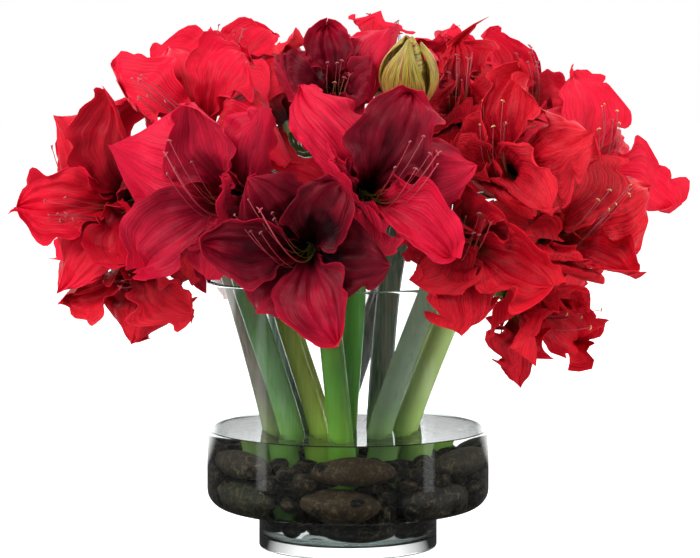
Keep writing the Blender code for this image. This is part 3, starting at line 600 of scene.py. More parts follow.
def clear_finish(name, tint, shadow, ior):
    """A clear body that refracts. For shadow rays it lets the light straight through, a little tinted,
    so that what stands in it is lit without caustics."""
    made, add = new_material(name, Roughness=0, IOR=ior, Transmission_Weight=1, Base_Color=linear(tint))
    clear = made.node_tree.nodes["Principled BSDF"].outputs[0]
    passing = add("BsdfTransparent", [linear(shadow)])[0]
    both = add("MixShader", [add("LightPath")["Is Shadow Ray"], clear, passing])[0]
    return linked(made, "Material Output", Surface=both)


def light_ways(add):
    """Two switches, 0 or 1: whether the light was scattered on its way, and whether it was reflected."""
    path = add("LightPath")
    return [
        add("Math", [path[f"{way} Depth"], 1], operation="MINIMUM")[0] for way in ("Diffuse", "Glossy")
    ]


# Tubes, turned shapes and sheets.


def through(points, count):
    """Points along the smooth curve that passes through the given ones."""
    ends = [2 * points[0] - points[1], *points, 2 * points[-1] - points[-2]]
    found = []
    for step in range(count):
        place = (len(points) - 1) * step / (count - 1)
        index = min(int(place), len(points) - 2)
        t = place - index
        a, b, c, d = ends[index : index + 4]
        bend = (2 * a - 5 * b + 4 * c - d) * t * t + (3 * b - a - 3 * c + d) * t**3
        found.append((2 * b + (c - a) * t + bend) / 2)
    return found


def strands(name, lines, sides, finishes):
    """Round strands, each with its points, their radii and the number of its finish, as one mesh."""
    curve = bpy.data.curves.new(name, "CURVE")
    curve.dimensions = "3D"
    curve.twist_mode = "MINIMUM"
    curve.use_fill_caps = True
    curve.bevel_depth = 1
    curve.bevel_resolution = sides // 2 - 2
    for finish in finishes:
        curve.materials.append(finish)
    for points, radii, index in lines:
        spline = curve.splines.new("POLY")
        spline.material_index = index
        spline.points.add(len(points) - 1)
        for place, point, radius in zip(spline.points, points, radii):
            place.co = (*point, 1)
            place.radius = radius
    select_only(placed(name, curve))
    bpy.ops.object.convert(target="MESH")
    thing = bpy.context.view_layer.objects.active
    close_and_face_out(thing)
    return thing


def arc(centre, radius, start, end, steps):
    """Points on an arc in a profile's plane, from one angle to another in degrees."""
    angles = (math.radians(start + (end - start) * step / steps) for step in range(steps + 1))
    return [(centre[0] + radius * math.cos(a), centre[1] + radius * math.sin(a)) for a in angles]


def turned(name, profile, finish, steps=160):
    """The closed body that a profile makes when it is turned round the Z axis."""
    mesh = bpy.data.meshes.new(name)
    corners = [(radius, 0, height) for radius, height in profile]
    mesh.from_pydata(corners, [(index, index + 1) for index in range(len(corners) - 1)], [])
    mesh.materials.append(finish)
    thing = placed(name, mesh)
    turn = thing.modifiers.new("Turn", "SCREW")
    turn.steps = turn.render_steps = steps
    turn.use_merge_vertices = True
    turn.merge_threshold = 0.01 * MM
    apply_modifiers(thing)
    close_and_face_out(thing, 0.01 * MM)
    smooth(thing, 35)
    return thing


def inner_profile(inset):
    """The vase's inside from the axis to the top of its lower corner, set in by a distance."""
    foot = FOOT_RADIUS - VASE_WALL - inset
    wall = VASE_RADIUS - VASE_WALL - inset
    bottom = FOOT_FLOOR + inset
    floor = FOOT_HEIGHT + VASE_WALL + inset
    corner = CORNER_RADIUS - VASE_WALL
    return [
        (0, bottom),
        (foot - FOOT_CORNER - WALL_RING, bottom),
        *arc((foot - FOOT_CORNER, bottom + FOOT_CORNER), FOOT_CORNER, -90, 0, 8),
        (foot, bottom + FOOT_CORNER + WALL_RING),
        (foot, floor - FOOT_FILLET - WALL_RING),
        *arc((foot + FOOT_FILLET, floor - FOOT_FILLET), FOOT_FILLET, 180, 90, 4),
        *arc((wall - corner, floor + corner), corner, -90, 0, 12),
    ]


def blank_sheet():
    """A flat grid from which every tepal and bract is bent, with its UV map."""
    return primitive("grid", x_subdivisions=BLADE_COLUMNS, y_subdivisions=BLADE_ROWS, size=2)


def sheet_places(blank):
    """Where each point of the blank is across it, from -1 to 1, and along it, from 0 to 1."""
    grid = points_of(blank.data)
    return grid[:, 0], (grid[:, 1] + 1) / 2


def bent_sheet(name, blank, points, thickness, finish, **marks):
    """A copy of the blank with its points moved, thickened to a closed sheet."""
    thing = placed(name, blank.data.copy())
    set_points(thing.data, points)
    thing.data.materials.append(finish)
    shell = thing.modifiers.new("Thickness", "SOLIDIFY")
    shell.thickness = thickness
    shell.offset = 0
    apply_modifiers(thing)
    mark(thing.data, **marks)
    return thing


# The blooms.


def facing(azimuth, elevation):
    """The unit vector at an azimuth from the front towards +X and an elevation, in degrees."""
    turn, rise = math.radians(azimuth), math.radians(elevation)
    return Vector((math.sin(turn) * math.cos(rise), -math.cos(turn) * math.cos(rise), math.sin(rise)))


def axes_of(bloom):
    """The way a bloom faces, and the directions across it, sideways and up."""
    forward = facing(bloom.azimuth, bloom.elevation)
    side = UP.cross(forward).normalized()
    return forward, side, forward.cross(side)


def reach_of(bloom):
    return bloom.length * (BUD_SHARE if bloom in BUDS else 1)


def rim_wall(throat):
    """The wall that keeps a bloom off the vase: it passes the rim and leans in over the vase."""
    out = Vector((throat.x, throat.y, 0)).normalized()
    lean = math.radians(RIM_SLANT)
    point = out * (VASE_RADIUS + RIM_CLEARANCE) + UP * (VASE_HEIGHT + RIM_CLEARANCE)
    return point, -(out * math.cos(lean) + UP * math.sin(lean))


def walls_of(bloom):
    """The walls of a bloom's cell: for each, a point on it, its outward normal and its softness."""
    throat = Vector(bloom.throat) * MM
    walls = []
    for other in BLOOMS + BUDS:
        apart = Vector(other.throat) * MM - throat
        if other is bloom or apart.length > CELL_REACH:
            continue
        toward = apart.normalized()
        share = reach_of(bloom) / (reach_of(bloom) + reach_of(other))
        outward = facing(bloom.azimuth, bloom.elevation) + facing(other.azimuth, other.elevation)
        outward -= toward * outward.dot(toward)
        outward.normalize()
        room = apart.length * min(share, 1 - share) - CELL_TUBE_ROOM
        most = min(CELL_MOST_SLANT, room / (CELL_LIFT + TUBE_LENGTH))
        slant = min(max(CELL_SLANT * (bloom.layer - other.layer), -most), most)
        normal = (toward - outward * slant).normalized()
        walls.append((throat + apart * share + outward * CELL_LIFT, normal))
    walls.append(rim_wall(throat))
    return [
        (np.array(place), np.array(normal), min(CELL_SOFTNESS, 0.8 * (place - throat).dot(normal)))
        for place, normal in walls
    ]


def contain(points, walls):
    """Bends points back from the walls of their cell: softly near them, and never across one."""
    points = np.array(points, float)
    for place, normal, softness, clearance in walls:
        depth = (points - place) @ normal
        near = depth > -softness
        room = softness - clearance
        left = clearance + room * np.exp(-(depth[near] + softness) / room)
        points[near] -= np.outer(depth[near] + left, normal)
    for _ in range(4):
        for place, normal, _, clearance in walls:
            depth = np.maximum((points - place) @ normal + clearance, 0)
            points -= np.outer(depth, normal)
    return points


Tepal = namedtuple("Tepal", "index outer turn length width open twist swing waves draw")
Flower = namedtuple("Flower", "bloom throat forward side up walls tepals")


def draw_tepal(bloom, index):
    """One tepal before it is fitted into the cell. Every second one is outer, behind the others."""
    draw = random.Random(f"{BLOOM_SEED} {bloom.name} {index}")
    outer = index % 2 == 0
    return Tepal(
        index=index,
        outer=outer,
        turn=math.radians(bloom.roll + 360 * index / TEPALS + draw.uniform(-5, 5)),
        length=bloom.length * MM * draw.uniform(0.95, 1.05),
        width=bloom.length * MM * TEPAL_WIDTH * draw.uniform(0.95, 1.05) * (1 if outer else 0.92),
        open=bloom.open + (OUTER_MORE_OPEN if outer else 0) + draw.uniform(-5, 5),
        twist=math.radians(draw.uniform(-5, 5)),
        swing=bloom.length * MM * draw.uniform(-0.07, 0.07),
        waves=[(draw.uniform(1.4, 2.1), draw.uniform(0, 1)) for _ in range(2)],
        draw=draw,
    )


def solid_half_width(tepal, v):
    """Half of the width of the tepal's solid, at a share of its length."""
    rise = smoothstep(v / TEPAL_WIDEST)
    fall = 1 - np.maximum((v - TEPAL_WIDEST) / (1 - TEPAL_WIDEST), 0) ** 2.4
    return tepal.width / 2 * (TEPAL_BASE + (1 - TEPAL_BASE) * rise) * np.maximum(fall, 0) ** 0.75


def blade_half_width(tepal, v):
    """Half of the finished tepal's width: a narrow claw, a broad round-shouldered blade, a short tip."""
    rise = smoothstep(v / 0.5)
    fall = 1 - np.maximum((v - 0.46) / 0.54, 0) ** 2
    full = (TEPAL_BASE + (1 - TEPAL_BASE) * rise) * np.maximum(fall, 0) ** 0.8
    return tepal.width / 2 * BLADE_MORE_WIDTH * full


def opening_at(flower, turn):
    """How far the bloom opens in each direction: each tepal's own opening, and between them in between."""
    place = (turn - math.radians(flower.bloom.roll)) * TEPALS / (2 * math.pi) % TEPALS
    opens = np.array([tepal.open for tepal in flower.tepals])
    first = opens[place.astype(int) % TEPALS]
    second = opens[(place.astype(int) + 1) % TEPALS]
    return np.radians(first + (second - first) * (place % 1))


def flare(bloom, opening, distance, steps=16):
    """How far the bloom's surface is from its axis and along it, and its angle, at a distance over it."""
    start, length = math.radians(FUNNEL_ANGLE), bloom.length * MM
    stride = distance / steps
    out = np.full_like(distance, TUBE_EDGE - TEPAL_INSET)
    along = np.full_like(distance, -TEPAL_ROOT)
    for step in range(steps):
        angle = start + (opening - start) * smoothstep((step + 0.5) * stride / length * FLARE_HASTE)
        out += np.sin(angle) * stride
        along += np.cos(angle) * stride
    return out, along, start + (opening - start) * smoothstep(distance / length * FLARE_HASTE)


def tepal_points(flower, tepal, u, v, length, opened, open_round, half_width, more_lift=0, more_aside=0):
    """A tepal's middle surface at u across it, from -1 to 1, and v along it."""
    distance = length * v
    out, _, _ = flare(flower.bloom, opened, distance)
    aside = u * np.minimum(half_width, out * TEPAL_WRAP) + tepal.swing * v * v + more_aside
    turn = tepal.turn + aside / out
    out, along, angle = flare(flower.bloom, open_round(turn), distance)
    ray = np.outer(np.cos(turn), flower.side) + np.outer(np.sin(turn), flower.up)
    forward = np.array(flower.forward)
    inward = np.outer(np.sin(angle), forward) - ray * np.cos(angle)[:, None]
    frequency = np.where(u > 0, tepal.waves[1][0], tepal.waves[0][0])
    phase = np.where(u > 0, tepal.waves[1][1], tepal.waves[0][1])
    ruffle = RUFFLE * (1 + np.sin(2 * math.pi * (frequency * v + phase)))
    edge = u * u * smoothstep(v * 1.6)
    lift = aside * np.tan(tepal.twist * v * v) + more_lift
    if tepal.outer:
        lift -= OUTER_DROP * v + edge * (ruffle + ARCH * v)
    else:
        lift += OUTER_STEP + edge * ruffle
    return np.array(flower.throat) + ray * out[:, None] + np.outer(along, forward) + inward * lift[:, None]


def fitted(flower, tepal):
    """The tepal opened as far as its cell lets it, and shortened where it still can't pass."""
    least, most = FIT_OPENINGS
    change_cost, length_cost, wall_cost = FIT_COSTS
    tries = [
        (share, change)
        for share in TEPAL_SHARES
        for change in FIT_CHANGES
        if least <= tepal.open + change <= most
    ]
    places = np.array(FIT_PLACES)
    u, v = np.tile(places[:, 0], len(tries)), np.tile(places[:, 1], len(tries))
    opened = np.radians(tepal.open + np.repeat([change for _, change in tries], len(places)))
    length = tepal.length * np.repeat([share for share, _ in tries], len(places))
    points = tepal_points(
        flower, tepal, u, v, length, opened, lambda turn: opened, solid_half_width(tepal, v)
    )
    cost = np.zeros(len(points))
    for place, normal, _ in flower.walls:
        depth = ((points - place) @ normal + FIT_MARGIN) / MM
        cost += wall_cost * np.maximum(depth, 0) ** 1.2
    cost = cost.reshape(len(tries), -1).sum(1)
    cost += [abs(change) * change_cost + (1 - share) * length_cost for share, change in tries]
    share, change = tries[int(np.argmin(cost))]
    return tepal._replace(open=tepal.open + change, length=tepal.length * share)


def flower_of(bloom):
    """A bloom with its cell's walls and its tepals fitted between them."""
    forward, side, up = axes_of(bloom)
    flower = Flower(bloom, Vector(bloom.throat) * MM, forward, side, up, walls_of(bloom), None)
    tepals = []
    for index in range(TEPALS):
        tepal = fitted(flower, draw_tepal(bloom, index))
        more_open, share = CHANGES.get(f"{bloom.name}{index}", (0, 1))
        tepals.append(tepal._replace(open=tepal.open + more_open, length=tepal.length * share))
    return flower._replace(tepals=tepals)


def walls_round(flower, tepal):
    """The cell's walls with the tepal's clearance from each, so that tepals pressed to one don't touch."""
    walls = []
    for place, normal, softness in flower.walls:
        first = tepal.outer == (normal @ np.array(flower.forward) < 0)
        order = tepal.index // 2 + (0 if first else TEPALS // 2)
        walls.append((place, normal, softness, CELL_CLEARANCE + order * CELL_STEP))
    return walls


def make_tepal(flower, tepal, blank, finish):
    """A veined tepal with a grooved midrib, shallow pleats and wavy edges, bent into its cell."""
    u, v = sheet_places(blank)
    draw, frill = tepal.draw, flower.bloom.frill
    away = -1 if tepal.outer else 1

    def uneven(across, along, third=0 * u, scale=1):
        """Noise over the tepal, from a place of its own each time."""
        return noise_at(np.stack([across, along, third], 1), scale, draw.uniform(0, 50))

    rib = -RIB_DEPTH * np.exp(-((u / 0.15) ** 2)) * (1 - v) * smoothstep(v * 4)
    pleats = PLEAT_DEPTH * np.cos(u * math.pi * draw.choice((5, 6, 7))) * (1 - u * u) * smoothstep(v * 1.5)
    side = np.where(u > 0, draw.uniform(0, 6), draw.uniform(0, 6))
    pace = draw.uniform(2.6, 3.8)
    wave = np.sin(2 * math.pi * pace * v + side) + 0.5 * np.sin(2 * math.pi * 2.3 * pace * v + 2 * side)
    fringe = np.abs(u) ** 2.5 * smoothstep(v * 2.2)
    frills = away * EDGE_FRILL * frill * fringe * (1 + wave / 1.5)
    curl = -draw.uniform(*TIP_CURL) * smoothstep((v - 0.72) / 0.28) ** 2
    warp = WARP * uneven(u, v * 1.6, scale=1.3) * smoothstep(v)
    crumple = CRUMPLE * uneven(u * 3, v * 6) * smoothstep(v * 2)
    ripple = uneven(u * 0.8, v * 9, np.sign(u))
    ripple = away * EDGE_RIPPLE * (0.3 + frill) * np.abs(u) ** 3 * smoothstep(v * 2) * np.abs(ripple) * 1.6
    fold = away * draw.uniform(0, FOLD) * np.abs(u) ** 1.4 * smoothstep(v * 1.6)
    ragged = uneven(np.sign(u), v * 8)
    points = tepal_points(
        flower, tepal, u, v, tepal.length, np.full_like(v, math.radians(tepal.open)),
        lambda turn: opening_at(flower, turn), blade_half_width(tepal, v),
        rib + pleats + frills + curl + crumple + ripple + fold + away * np.abs(warp),
        u * tepal.width * 0.2 * (0.2 + frill) * ragged * fringe,
    )
    points = contain(points, walls_round(flower, tepal))
    thickness = bpy.context.scene.amaryllis_sizes.petal_thickness
    tone = int(flower.bloom.tones[tepal.index]) / 9
    return bent_sheet("tepal", blank, points, thickness, finish, tone=tone, seed=draw.uniform(0, 9), along=0)


def stamen_line(flower, index, more_length=1):
    """A filament leans down with the others as it leaves the throat, and its end curves up."""
    bloom, lean = flower.bloom, flower.bloom.lean
    draw = random.Random(f"{BLOOM_SEED} {bloom.name} stamen {index}")
    turn = 2 * math.pi * (index + draw.uniform(-0.4, 0.4)) / STAMENS
    fan = flower.side * math.cos(turn) + flower.up * math.sin(turn)
    length = bloom.length * MM * STAMEN_LENGTH * draw.uniform(0.72, 1.08) * more_length
    points = []
    for step in range(STAMEN_STEPS + 1):
        t = step / STAMEN_STEPS
        along = flower.forward * (length * (t - 0.12 * t * t) - STAMEN_ROOT)
        rise = (STAMEN_LIFT + lean[1]) * t**3 - STAMEN_SAG * math.sin(math.pi * t)
        droop = (flower.up * rise + flower.side * lean[0] * t**1.8) * length
        points.append(flower.throat + along + droop + fan * (STAMEN_RING + length * STAMEN_FAN * t))
    walls = [(*wall, STAMEN_CLEARANCE) for wall in flower.walls]
    return [Vector(point) for point in contain(points, walls)], draw


def make_stamens(flower, finishes):
    """Six filaments with their swinging anthers, and a longer style with a three-lobed stigma."""
    lines = []
    for index in range(STAMENS):
        points, draw = stamen_line(flower, index)
        radii = np.interp(range(len(points)), [0, 3, len(points) - 1], FILAMENT_RADII)
        lines.append((points, radii, 0))
        forward = (points[-1] - points[-2]).normalized()
        across = forward.cross(Vector([draw.uniform(-1, 1) for _ in range(3)]))
        across = (across.normalized() + forward * draw.uniform(-0.4, 0.4)).normalized()
        half = across * ANTHER_LENGTH / 2
        bow = forward * ANTHER_LENGTH * 0.22
        anther = [points[-1] + half * share - bow * share * share for share, _ in ANTHER]
        lines.append((anther, [radius * MM for _, radius in ANTHER], 1))
    points, _ = stamen_line(flower, STAMENS, STYLE_MORE_LENGTH)
    lines.append((points, np.linspace(*STYLE_RADII, len(points)), 0))
    end, forward = points[-1], (points[-1] - points[-2]).normalized()
    for turn in STIGMA_TURNS:
        out = (flower.side * math.cos(turn) + flower.up * math.sin(turn)) * 3 * MM
        lobe = [end, end + out * 0.5 + forward * 1.2 * MM, end + out + forward * 1.4 * MM]
        lines.append((lobe, STIGMA_RADII, 0))
    thing = strands("stamens", lines, 6, finishes)
    length = flower.bloom.length * MM * STAMEN_LENGTH
    along = np.linalg.norm(points_of(thing.data) - np.array(flower.throat), axis=1) / length
    mark(thing.data, tone=1 if flower.bloom.name in RIPE else 0, seed=0, along=along)
    return thing


def make_tube(flower, finish):
    """The floral tube between the ovary and the roots of the tepals."""
    points = [flower.throat + flower.forward * place * MM for place, _ in TUBE]
    thing = strands("tube", [(points, [radius * MM for _, radius in TUBE], 0)], 18, [finish])
    along = np.abs((points_of(thing.data) - np.array(flower.throat)) @ np.array(flower.forward)) / TUBE_GRADE
    mark(thing.data, tone=0.5, seed=0, along=along)
    return thing


def make_bloom(bloom, blank, finishes):
    flower = flower_of(bloom)
    things = [make_tepal(flower, tepal, blank, finishes[bloom.look]) for tepal in flower.tepals]
    things.append(make_stamens(flower, [finishes["filament"], finishes["anther"]]))
    things.append(make_tube(flower, finishes["tube"]))
    join(f"petals_{bloom.name}", things, "bloom", f"bloom_{bloom.name}")


def bud_points(bud, index, u, v):
    """The sheet that wraps a third of the bud and hugs its core, with pleats that follow its length."""
    forward, side, up = (np.array(axis) for axis in axes_of(bud))
    turn = math.radians(bud.roll + 360 * index / BUD_TEPALS) + u * (1 - BUD_TAPER * v**2.4)
    ray = np.outer(np.cos(turn), side) + np.outer(np.sin(turn), up)
    length = bud.length * MM
    swell = np.maximum(np.sin(math.pi * (0.14 + 0.8 * v)), 0) ** 0.8
    pleats = 0.9 * MM * np.abs(np.sin(u * 7 + 2 * index)) * smoothstep(v * 2) * smoothstep((1 - v) * 3)
    out = length * (BUD_NECK + BUD_BULGE * swell) + BUD_STEP * (1 + 0.9 * u + 0.5 * index) + pleats
    reach = length * (v * (1 - 0.1 * u * u * v) - 0.08) * (1 + 0.05 * index)
    return np.array(bud.throat) * MM + np.outer(reach, forward) + ray * out[:, None]


def make_bud(bud, blank, finish):
    """A closed bud: a pointed core, wrapped by three sheets that overlap along its length."""
    forward, _, _ = axes_of(bud)
    throat, length = Vector(bud.throat) * MM, bud.length * MM
    shares = np.linspace(0, 1, 16)
    radii = np.interp(shares, *zip(*BUD_CORE)) * length
    route = [throat + forward * (length * share - TUBE_LENGTH * (1 - share)) for share in shares]
    things = [strands("core", [(route, radii, 0)], 24, [finish])]
    mark(things[0].data, seed=0)
    for index in range(BUD_TEPALS):
        points = bud_points(bud, index, *sheet_places(blank))
        things.append(bent_sheet("sheet", blank, points, BUD_SHEET, finish, seed=2.3 * index))
    join(f"closed_bud_{bud.name}", things, "bud", f"bud_{bud.name}")


# The scapes.


def stalk_line(crown, bloom, steps=9):
    """From the crown round to the back of the bloom, with the ovary's points last, and their radii."""
    forward = facing(bloom.azimuth, bloom.elevation)
    end = Vector(bloom.throat) * MM - forward * (TUBE_LENGTH - OVARY_OVERLAP)
    neck = end - forward * OVARY_LENGTH
    reach = (neck - crown).length
    rise = crown + UP * reach * STALK_RISE
    swing = neck - forward * reach * STALK_SWING
    points = []
    for step in range(steps):
        t = step / steps
        held = crown * (1 - t) ** 3 + rise * 3 * t * (1 - t) ** 2
        points.append(held + swing * 3 * t * t * (1 - t) + neck * t**3)
    radii = list(np.interp(range(steps), (0, steps / 2, steps - 1), STALK_RADII))
    points += [neck + forward * OVARY_LENGTH * share for share in (0, 0.25, 0.5, 0.75, 1)]
    return points, radii + list(OVARY_RADII)


def make_bract(crown, turn, blank, finish, length=46 * MM, width=22 * MM):
    """A spathe bract: it stands out from under the crown and hangs down beside the scape."""
    u, v = sheet_places(blank)
    out = np.array((math.cos(turn), math.sin(turn), 0))
    across = np.array((-math.sin(turn), math.cos(turn), 0))
    half = width / 2 * (0.6 + 0.4 * smoothstep(v * 3)) * (1 - v**2.2) ** 0.8
    stand = 9 * MM + 9 * MM * np.sin(math.pi * np.minimum(v * 0.62, 1))
    channel = 5 * MM * (1 - u * u) * (1 - 0.6 * v)
    drop = 3 * MM - length * v + 0.8 * MM * np.sin(9 * v + 5 * u)
    places = np.outer(stand + channel, out) + np.outer(u * half, across) + np.outer(drop, UP)
    return bent_sheet("bract", blank, np.array(crown) + places, 0.4 * MM, finish, tone=0.5)


def at_level(place, level):
    """The point at a level over a place that is given in millimetres."""
    return Vector((place[0] * MM, place[1] * MM, level))


def make_scape(scape, blank, finish, papery):
    """A scape with the flower stalks and ovaries that grow from its crown, and its dry bracts."""
    heads = {bloom.name: bloom for bloom in BLOOMS + BUDS}
    crown = Vector(scape.crown) * MM
    levels = ((scape.end, SCAPE_END), (scape.water, SCAPE_WATER), (scape.rim, VASE_HEIGHT))
    route = through([*(at_level(*level) for level in levels), crown], 26)
    radii = list(np.linspace(*SCAPE_RADII, len(route)))
    upward = (route[-1] - route[-2]).normalized()
    route += [crown + upward * rise * MM for rise, _ in CROWN_CAP]
    radii += [radius * MM for _, radius in CROWN_CAP]
    lines = [(route, radii, 0)]
    lines += [(*stalk_line(crown - UP * STALK_ROOT, heads[head]), 0) for head in scape.heads]
    stem = strands("stem", lines, 16, [finish])
    mark(stem.data, tone=scape.shade)
    first = random.Random(scape.name).uniform(0, 6)
    bracts = [make_bract(crown, first + turn, blank, papery) for turn in (0, 2.9)]
    join(f"stem_{scape.name[-2:]}", [stem, *bracts], "scape", scape.name)


# The stones.


def make_stone(name, finish, draw):
    """A large river stone: the part's solid made smooth and a little uneven."""
    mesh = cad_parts[name].data.copy()
    mesh.materials.clear()
    mesh.materials.append(finish)
    thing = placed(f"river_{name}", mesh)
    close_and_face_out(thing, 0.01 * MM)
    shape = thing.modifiers.new("Round", "SUBSURF")
    shape.levels = shape.render_levels = 2
    apply_modifiers(thing)
    points = points_of(mesh)
    middle = points.mean(0)
    bumps = 1 + 0.05 * noise_at(points, 45, draw.uniform(0, 50)) + 0.015 * noise_at(points, 160, 3)
    set_points(mesh, middle + (points - middle) * STONE_SWELL * bumps[:, None])
    mark(mesh, tone=draw.uniform(0, 1))
    smooth(thing)
    dress(thing, "stone", name)


def free_places(count, draw):
    """Places and sizes of small stones that keep clear of the large ones, the scapes and each other."""
    large = [points_of(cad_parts[name].data) for name in STONES]
    solid, middles = np.concatenate(large), np.array([points.mean(0) for points in large])
    stems = []
    for scape in SCAPES:
        low, high = at_level(scape.end, SCAPE_END), at_level(scape.water, SCAPE_WATER)
        stems += [low.lerp(high, step / 20) for step in range(21)]
    stems = np.array(stems)
    found = []
    for _ in range(PEBBLE_TRIES):
        if len(found) == count:
            break
        size = draw.uniform(*PEBBLE_SIZES) * MM
        in_foot = draw.random() < PEBBLE_FOOT_SHARE
        most = (FOOT_RADIUS if in_foot else VASE_RADIUS) - VASE_WALL - size - 1 * MM
        reach, turn = most * math.sqrt(draw.random()), draw.uniform(0, 2 * math.pi)
        height = draw.uniform(*PEBBLE_HEIGHTS[in_foot]) * MM
        place = np.array((reach * math.cos(turn), reach * math.sin(turn), height))
        off = PEBBLE_CLEARANCE * size
        rooms = ((solid, off), (middles, STONE_ROOM), (stems, SCAPE_RADII[0] + off))
        if all(np.linalg.norm(points - place, axis=1).min() > room for points, room in rooms) and all(
            np.linalg.norm(place - other) > PEBBLES_APART * (size + its) for other, its in found
        ):
            found.append((place, size))
    return found


def make_pebbles(finish):
    """Small stones that fill the bed between the large ones."""
    draw = random.Random(PEBBLE_SEED)
    first = primitive("ico_sphere", subdivisions=2, radius=1)
    unit = points_of(first.data)
    things = []
    for place, size in free_places(bpy.context.scene.amaryllis_sizes.pebbles, draw):
        thing = placed("pebble", first.data.copy())
        lumps = 1 + PEBBLE_LUMPS * noise_at(unit, 1.3, draw.uniform(0, 90))
        upward = Vector((draw.uniform(-1, 1), draw.uniform(-1, 1), draw.uniform(1.5, 3)))
        turn = np.array(upward.to_track_quat("Z", "Y").to_matrix())
        sides = np.array(PEBBLE_SIDES) * size
        set_points(thing.data, (unit * lumps[:, None] * sides) @ turn.T + place)
        mark(thing.data, tone=draw.uniform(0, 0.3) ** 2)
        thing.data.materials.append(finish)
        things.append(thing)
    bpy.data.objects.remove(first)
    join("small_stones", things, "stone")


class AMARYLLIS_OT_vase(Operator):
    """Makes the footed cylinder of clear glass"""

    bl_idname = "amaryllis.vase"
    bl_label = "Vase"

    def execute(self, context):
        # Soda-lime glass, blown and polished: clear, with a faint cool tint where it is thick.
        glass = clear_finish("soda_lime_glass", "#FBFDFD", "#F4F6F6", 1.5)
        lip = VASE_WALL / 2
        top = VASE_HEIGHT - lip
        straight = FOOT_HEIGHT + CORNER_RADIUS + WALL_RING
        corner, fillet = VASE_RADIUS - CORNER_RADIUS, FOOT_RADIUS + FOOT_FILLET
        profile = [
            *inner_profile(0),
            (VASE_RADIUS - VASE_WALL, straight),
            (VASE_RADIUS - VASE_WALL, top - WALL_RING),
            *arc((VASE_RADIUS - lip, top), lip, 180, 0, 10),
            (VASE_RADIUS, top - WALL_RING),
            (VASE_RADIUS, straight),
            *arc((corner, FOOT_HEIGHT + CORNER_RADIUS), CORNER_RADIUS, 0, -90, 14),
            (corner - WALL_RING, FOOT_HEIGHT),
            (fillet + WALL_RING, FOOT_HEIGHT),
            *arc((fillet, FOOT_HEIGHT - FOOT_FILLET), FOOT_FILLET, 90, 180, 4),
            (FOOT_RADIUS, FOOT_HEIGHT - FOOT_FILLET - WALL_RING),
            (FOOT_RADIUS, FOOT_EDGE + WALL_RING),
            *arc((FOOT_RADIUS - FOOT_EDGE, FOOT_EDGE), FOOT_EDGE, 0, -90, 6),
            (0, 0),
        ]
        dress(turned("glass_vase", profile, glass), "glass", "vase")
        return {"FINISHED"}


class AMARYLLIS_OT_water(Operator):
    """Fills the vase with water, which climbs a little at the wall"""

    bl_idname = "amaryllis.water"
    bl_label = "Water"

    def execute(self, context):
        # Clean water: clear and colourless. It reaches a hair into the glass, so that light passes
        # straight from one to the other, as it does where water wets glass.
        water = clear_finish("still_water", "#E4EAE8", "#C8D0CE", 1.333)
        level = context.scene.amaryllis_sizes.water_level
        wall = VASE_RADIUS - VASE_WALL + WATER_OVERLAP
        width, height = WATER_CLIMB
        shares = (0, 0.15, 0.4, 0.7, 1)
        profile = [
            *inner_profile(-WATER_OVERLAP),
            (wall, FOOT_HEIGHT + CORNER_RADIUS + WALL_RING),
            (wall, level - WALL_RING),
            *((wall - width * share, level - height * (1 - (1 - share) ** 2)) for share in shares),
            (0, level - height),
        ]
        dress(turned("still_water", profile, water), "water", "water")
        return {"FINISHED"}


class AMARYLLIS_OT_stones(Operator):
    """Lays the river stones, large and small"""

    bl_idname = "amaryllis.stones"
    bl_label = "Stones"

    def execute(self, context):
        finish = stone_finish()
        draw = random.Random(PEBBLE_SEED)
        for name in STONES:
            make_stone(name, finish, draw)
        make_pebbles(finish)
        return {"FINISHED"}


class AMARYLLIS_OT_scapes(Operator):
    """Grows the scapes with their flower stalks and bracts"""

    bl_idname = "amaryllis.scapes"
    bl_label = "Scapes"

    def execute(self, context):
        finish, papery = scape_finish(), bract_finish()
        blank = blank_sheet()
        for scape in SCAPES:
            make_scape(scape, blank, finish, papery)
        bpy.data.objects.remove(blank)
        return {"FINISHED"}


class AMARYLLIS_OT_blooms(Operator):
    """Opens the blooms"""

    bl_idname = "amaryllis.blooms"
    bl_label = "Blooms"

    def execute(self, context):
        colours = context.scene.amaryllis_colours
        # Each look of the tepals: its colour, that of its veins, its bright parts, which take the painted
        # glow of rim and tip, and its throat, stained and in painted shade, and how much it is veined and
        # flecked.
        looks = (
            ("scarlet", colours.scarlet, "#5A020E", "#E81436", "#30020A", 0.5, 0.3),
            ("burgundy", colours.burgundy, "#200208", "#E0163C", "#070102", 0.65, 0.35),
            ("flame", colours.flame, "#46020A", "#EE2436", "#300206", 0.7, 0.9),
            ("green_throated", colours.flame, "#340208", "#E2162A", "#5A6A1C", 0.75, 0.85),
        )
        finishes = {name: petal_finish(f"{name}_petal", *values) for name, *values in looks}
        # Stamen filament: slender and waxy, green at its root, then red, and pale pink at its end.
        stops = ((0.05, "#6A7018"), (0.35, "#6C4A1C"), (0.6, "#94182C"), (1.0, "#BC4A54"))
        finishes["filament"] = fleshy_finish("filament", stops)
        finishes["anther"] = anther_finish()
        # Floral tube: fleshy and satin, green where the ovary ends and red towards the throat.
        finishes["tube"] = fleshy_finish("floral_tube", ((0.02, "#3A0A10"), (0.14, "#5E7A2C")))
        blank = blank_sheet()
        for bloom in BLOOMS:
            make_bloom(bloom, blank, finishes)
        finish = bud_finish()
        for bud in BUDS:
            make_bud(bud, blank, finish)
        bpy.data.objects.remove(blank)
        return {"FINISHED"}


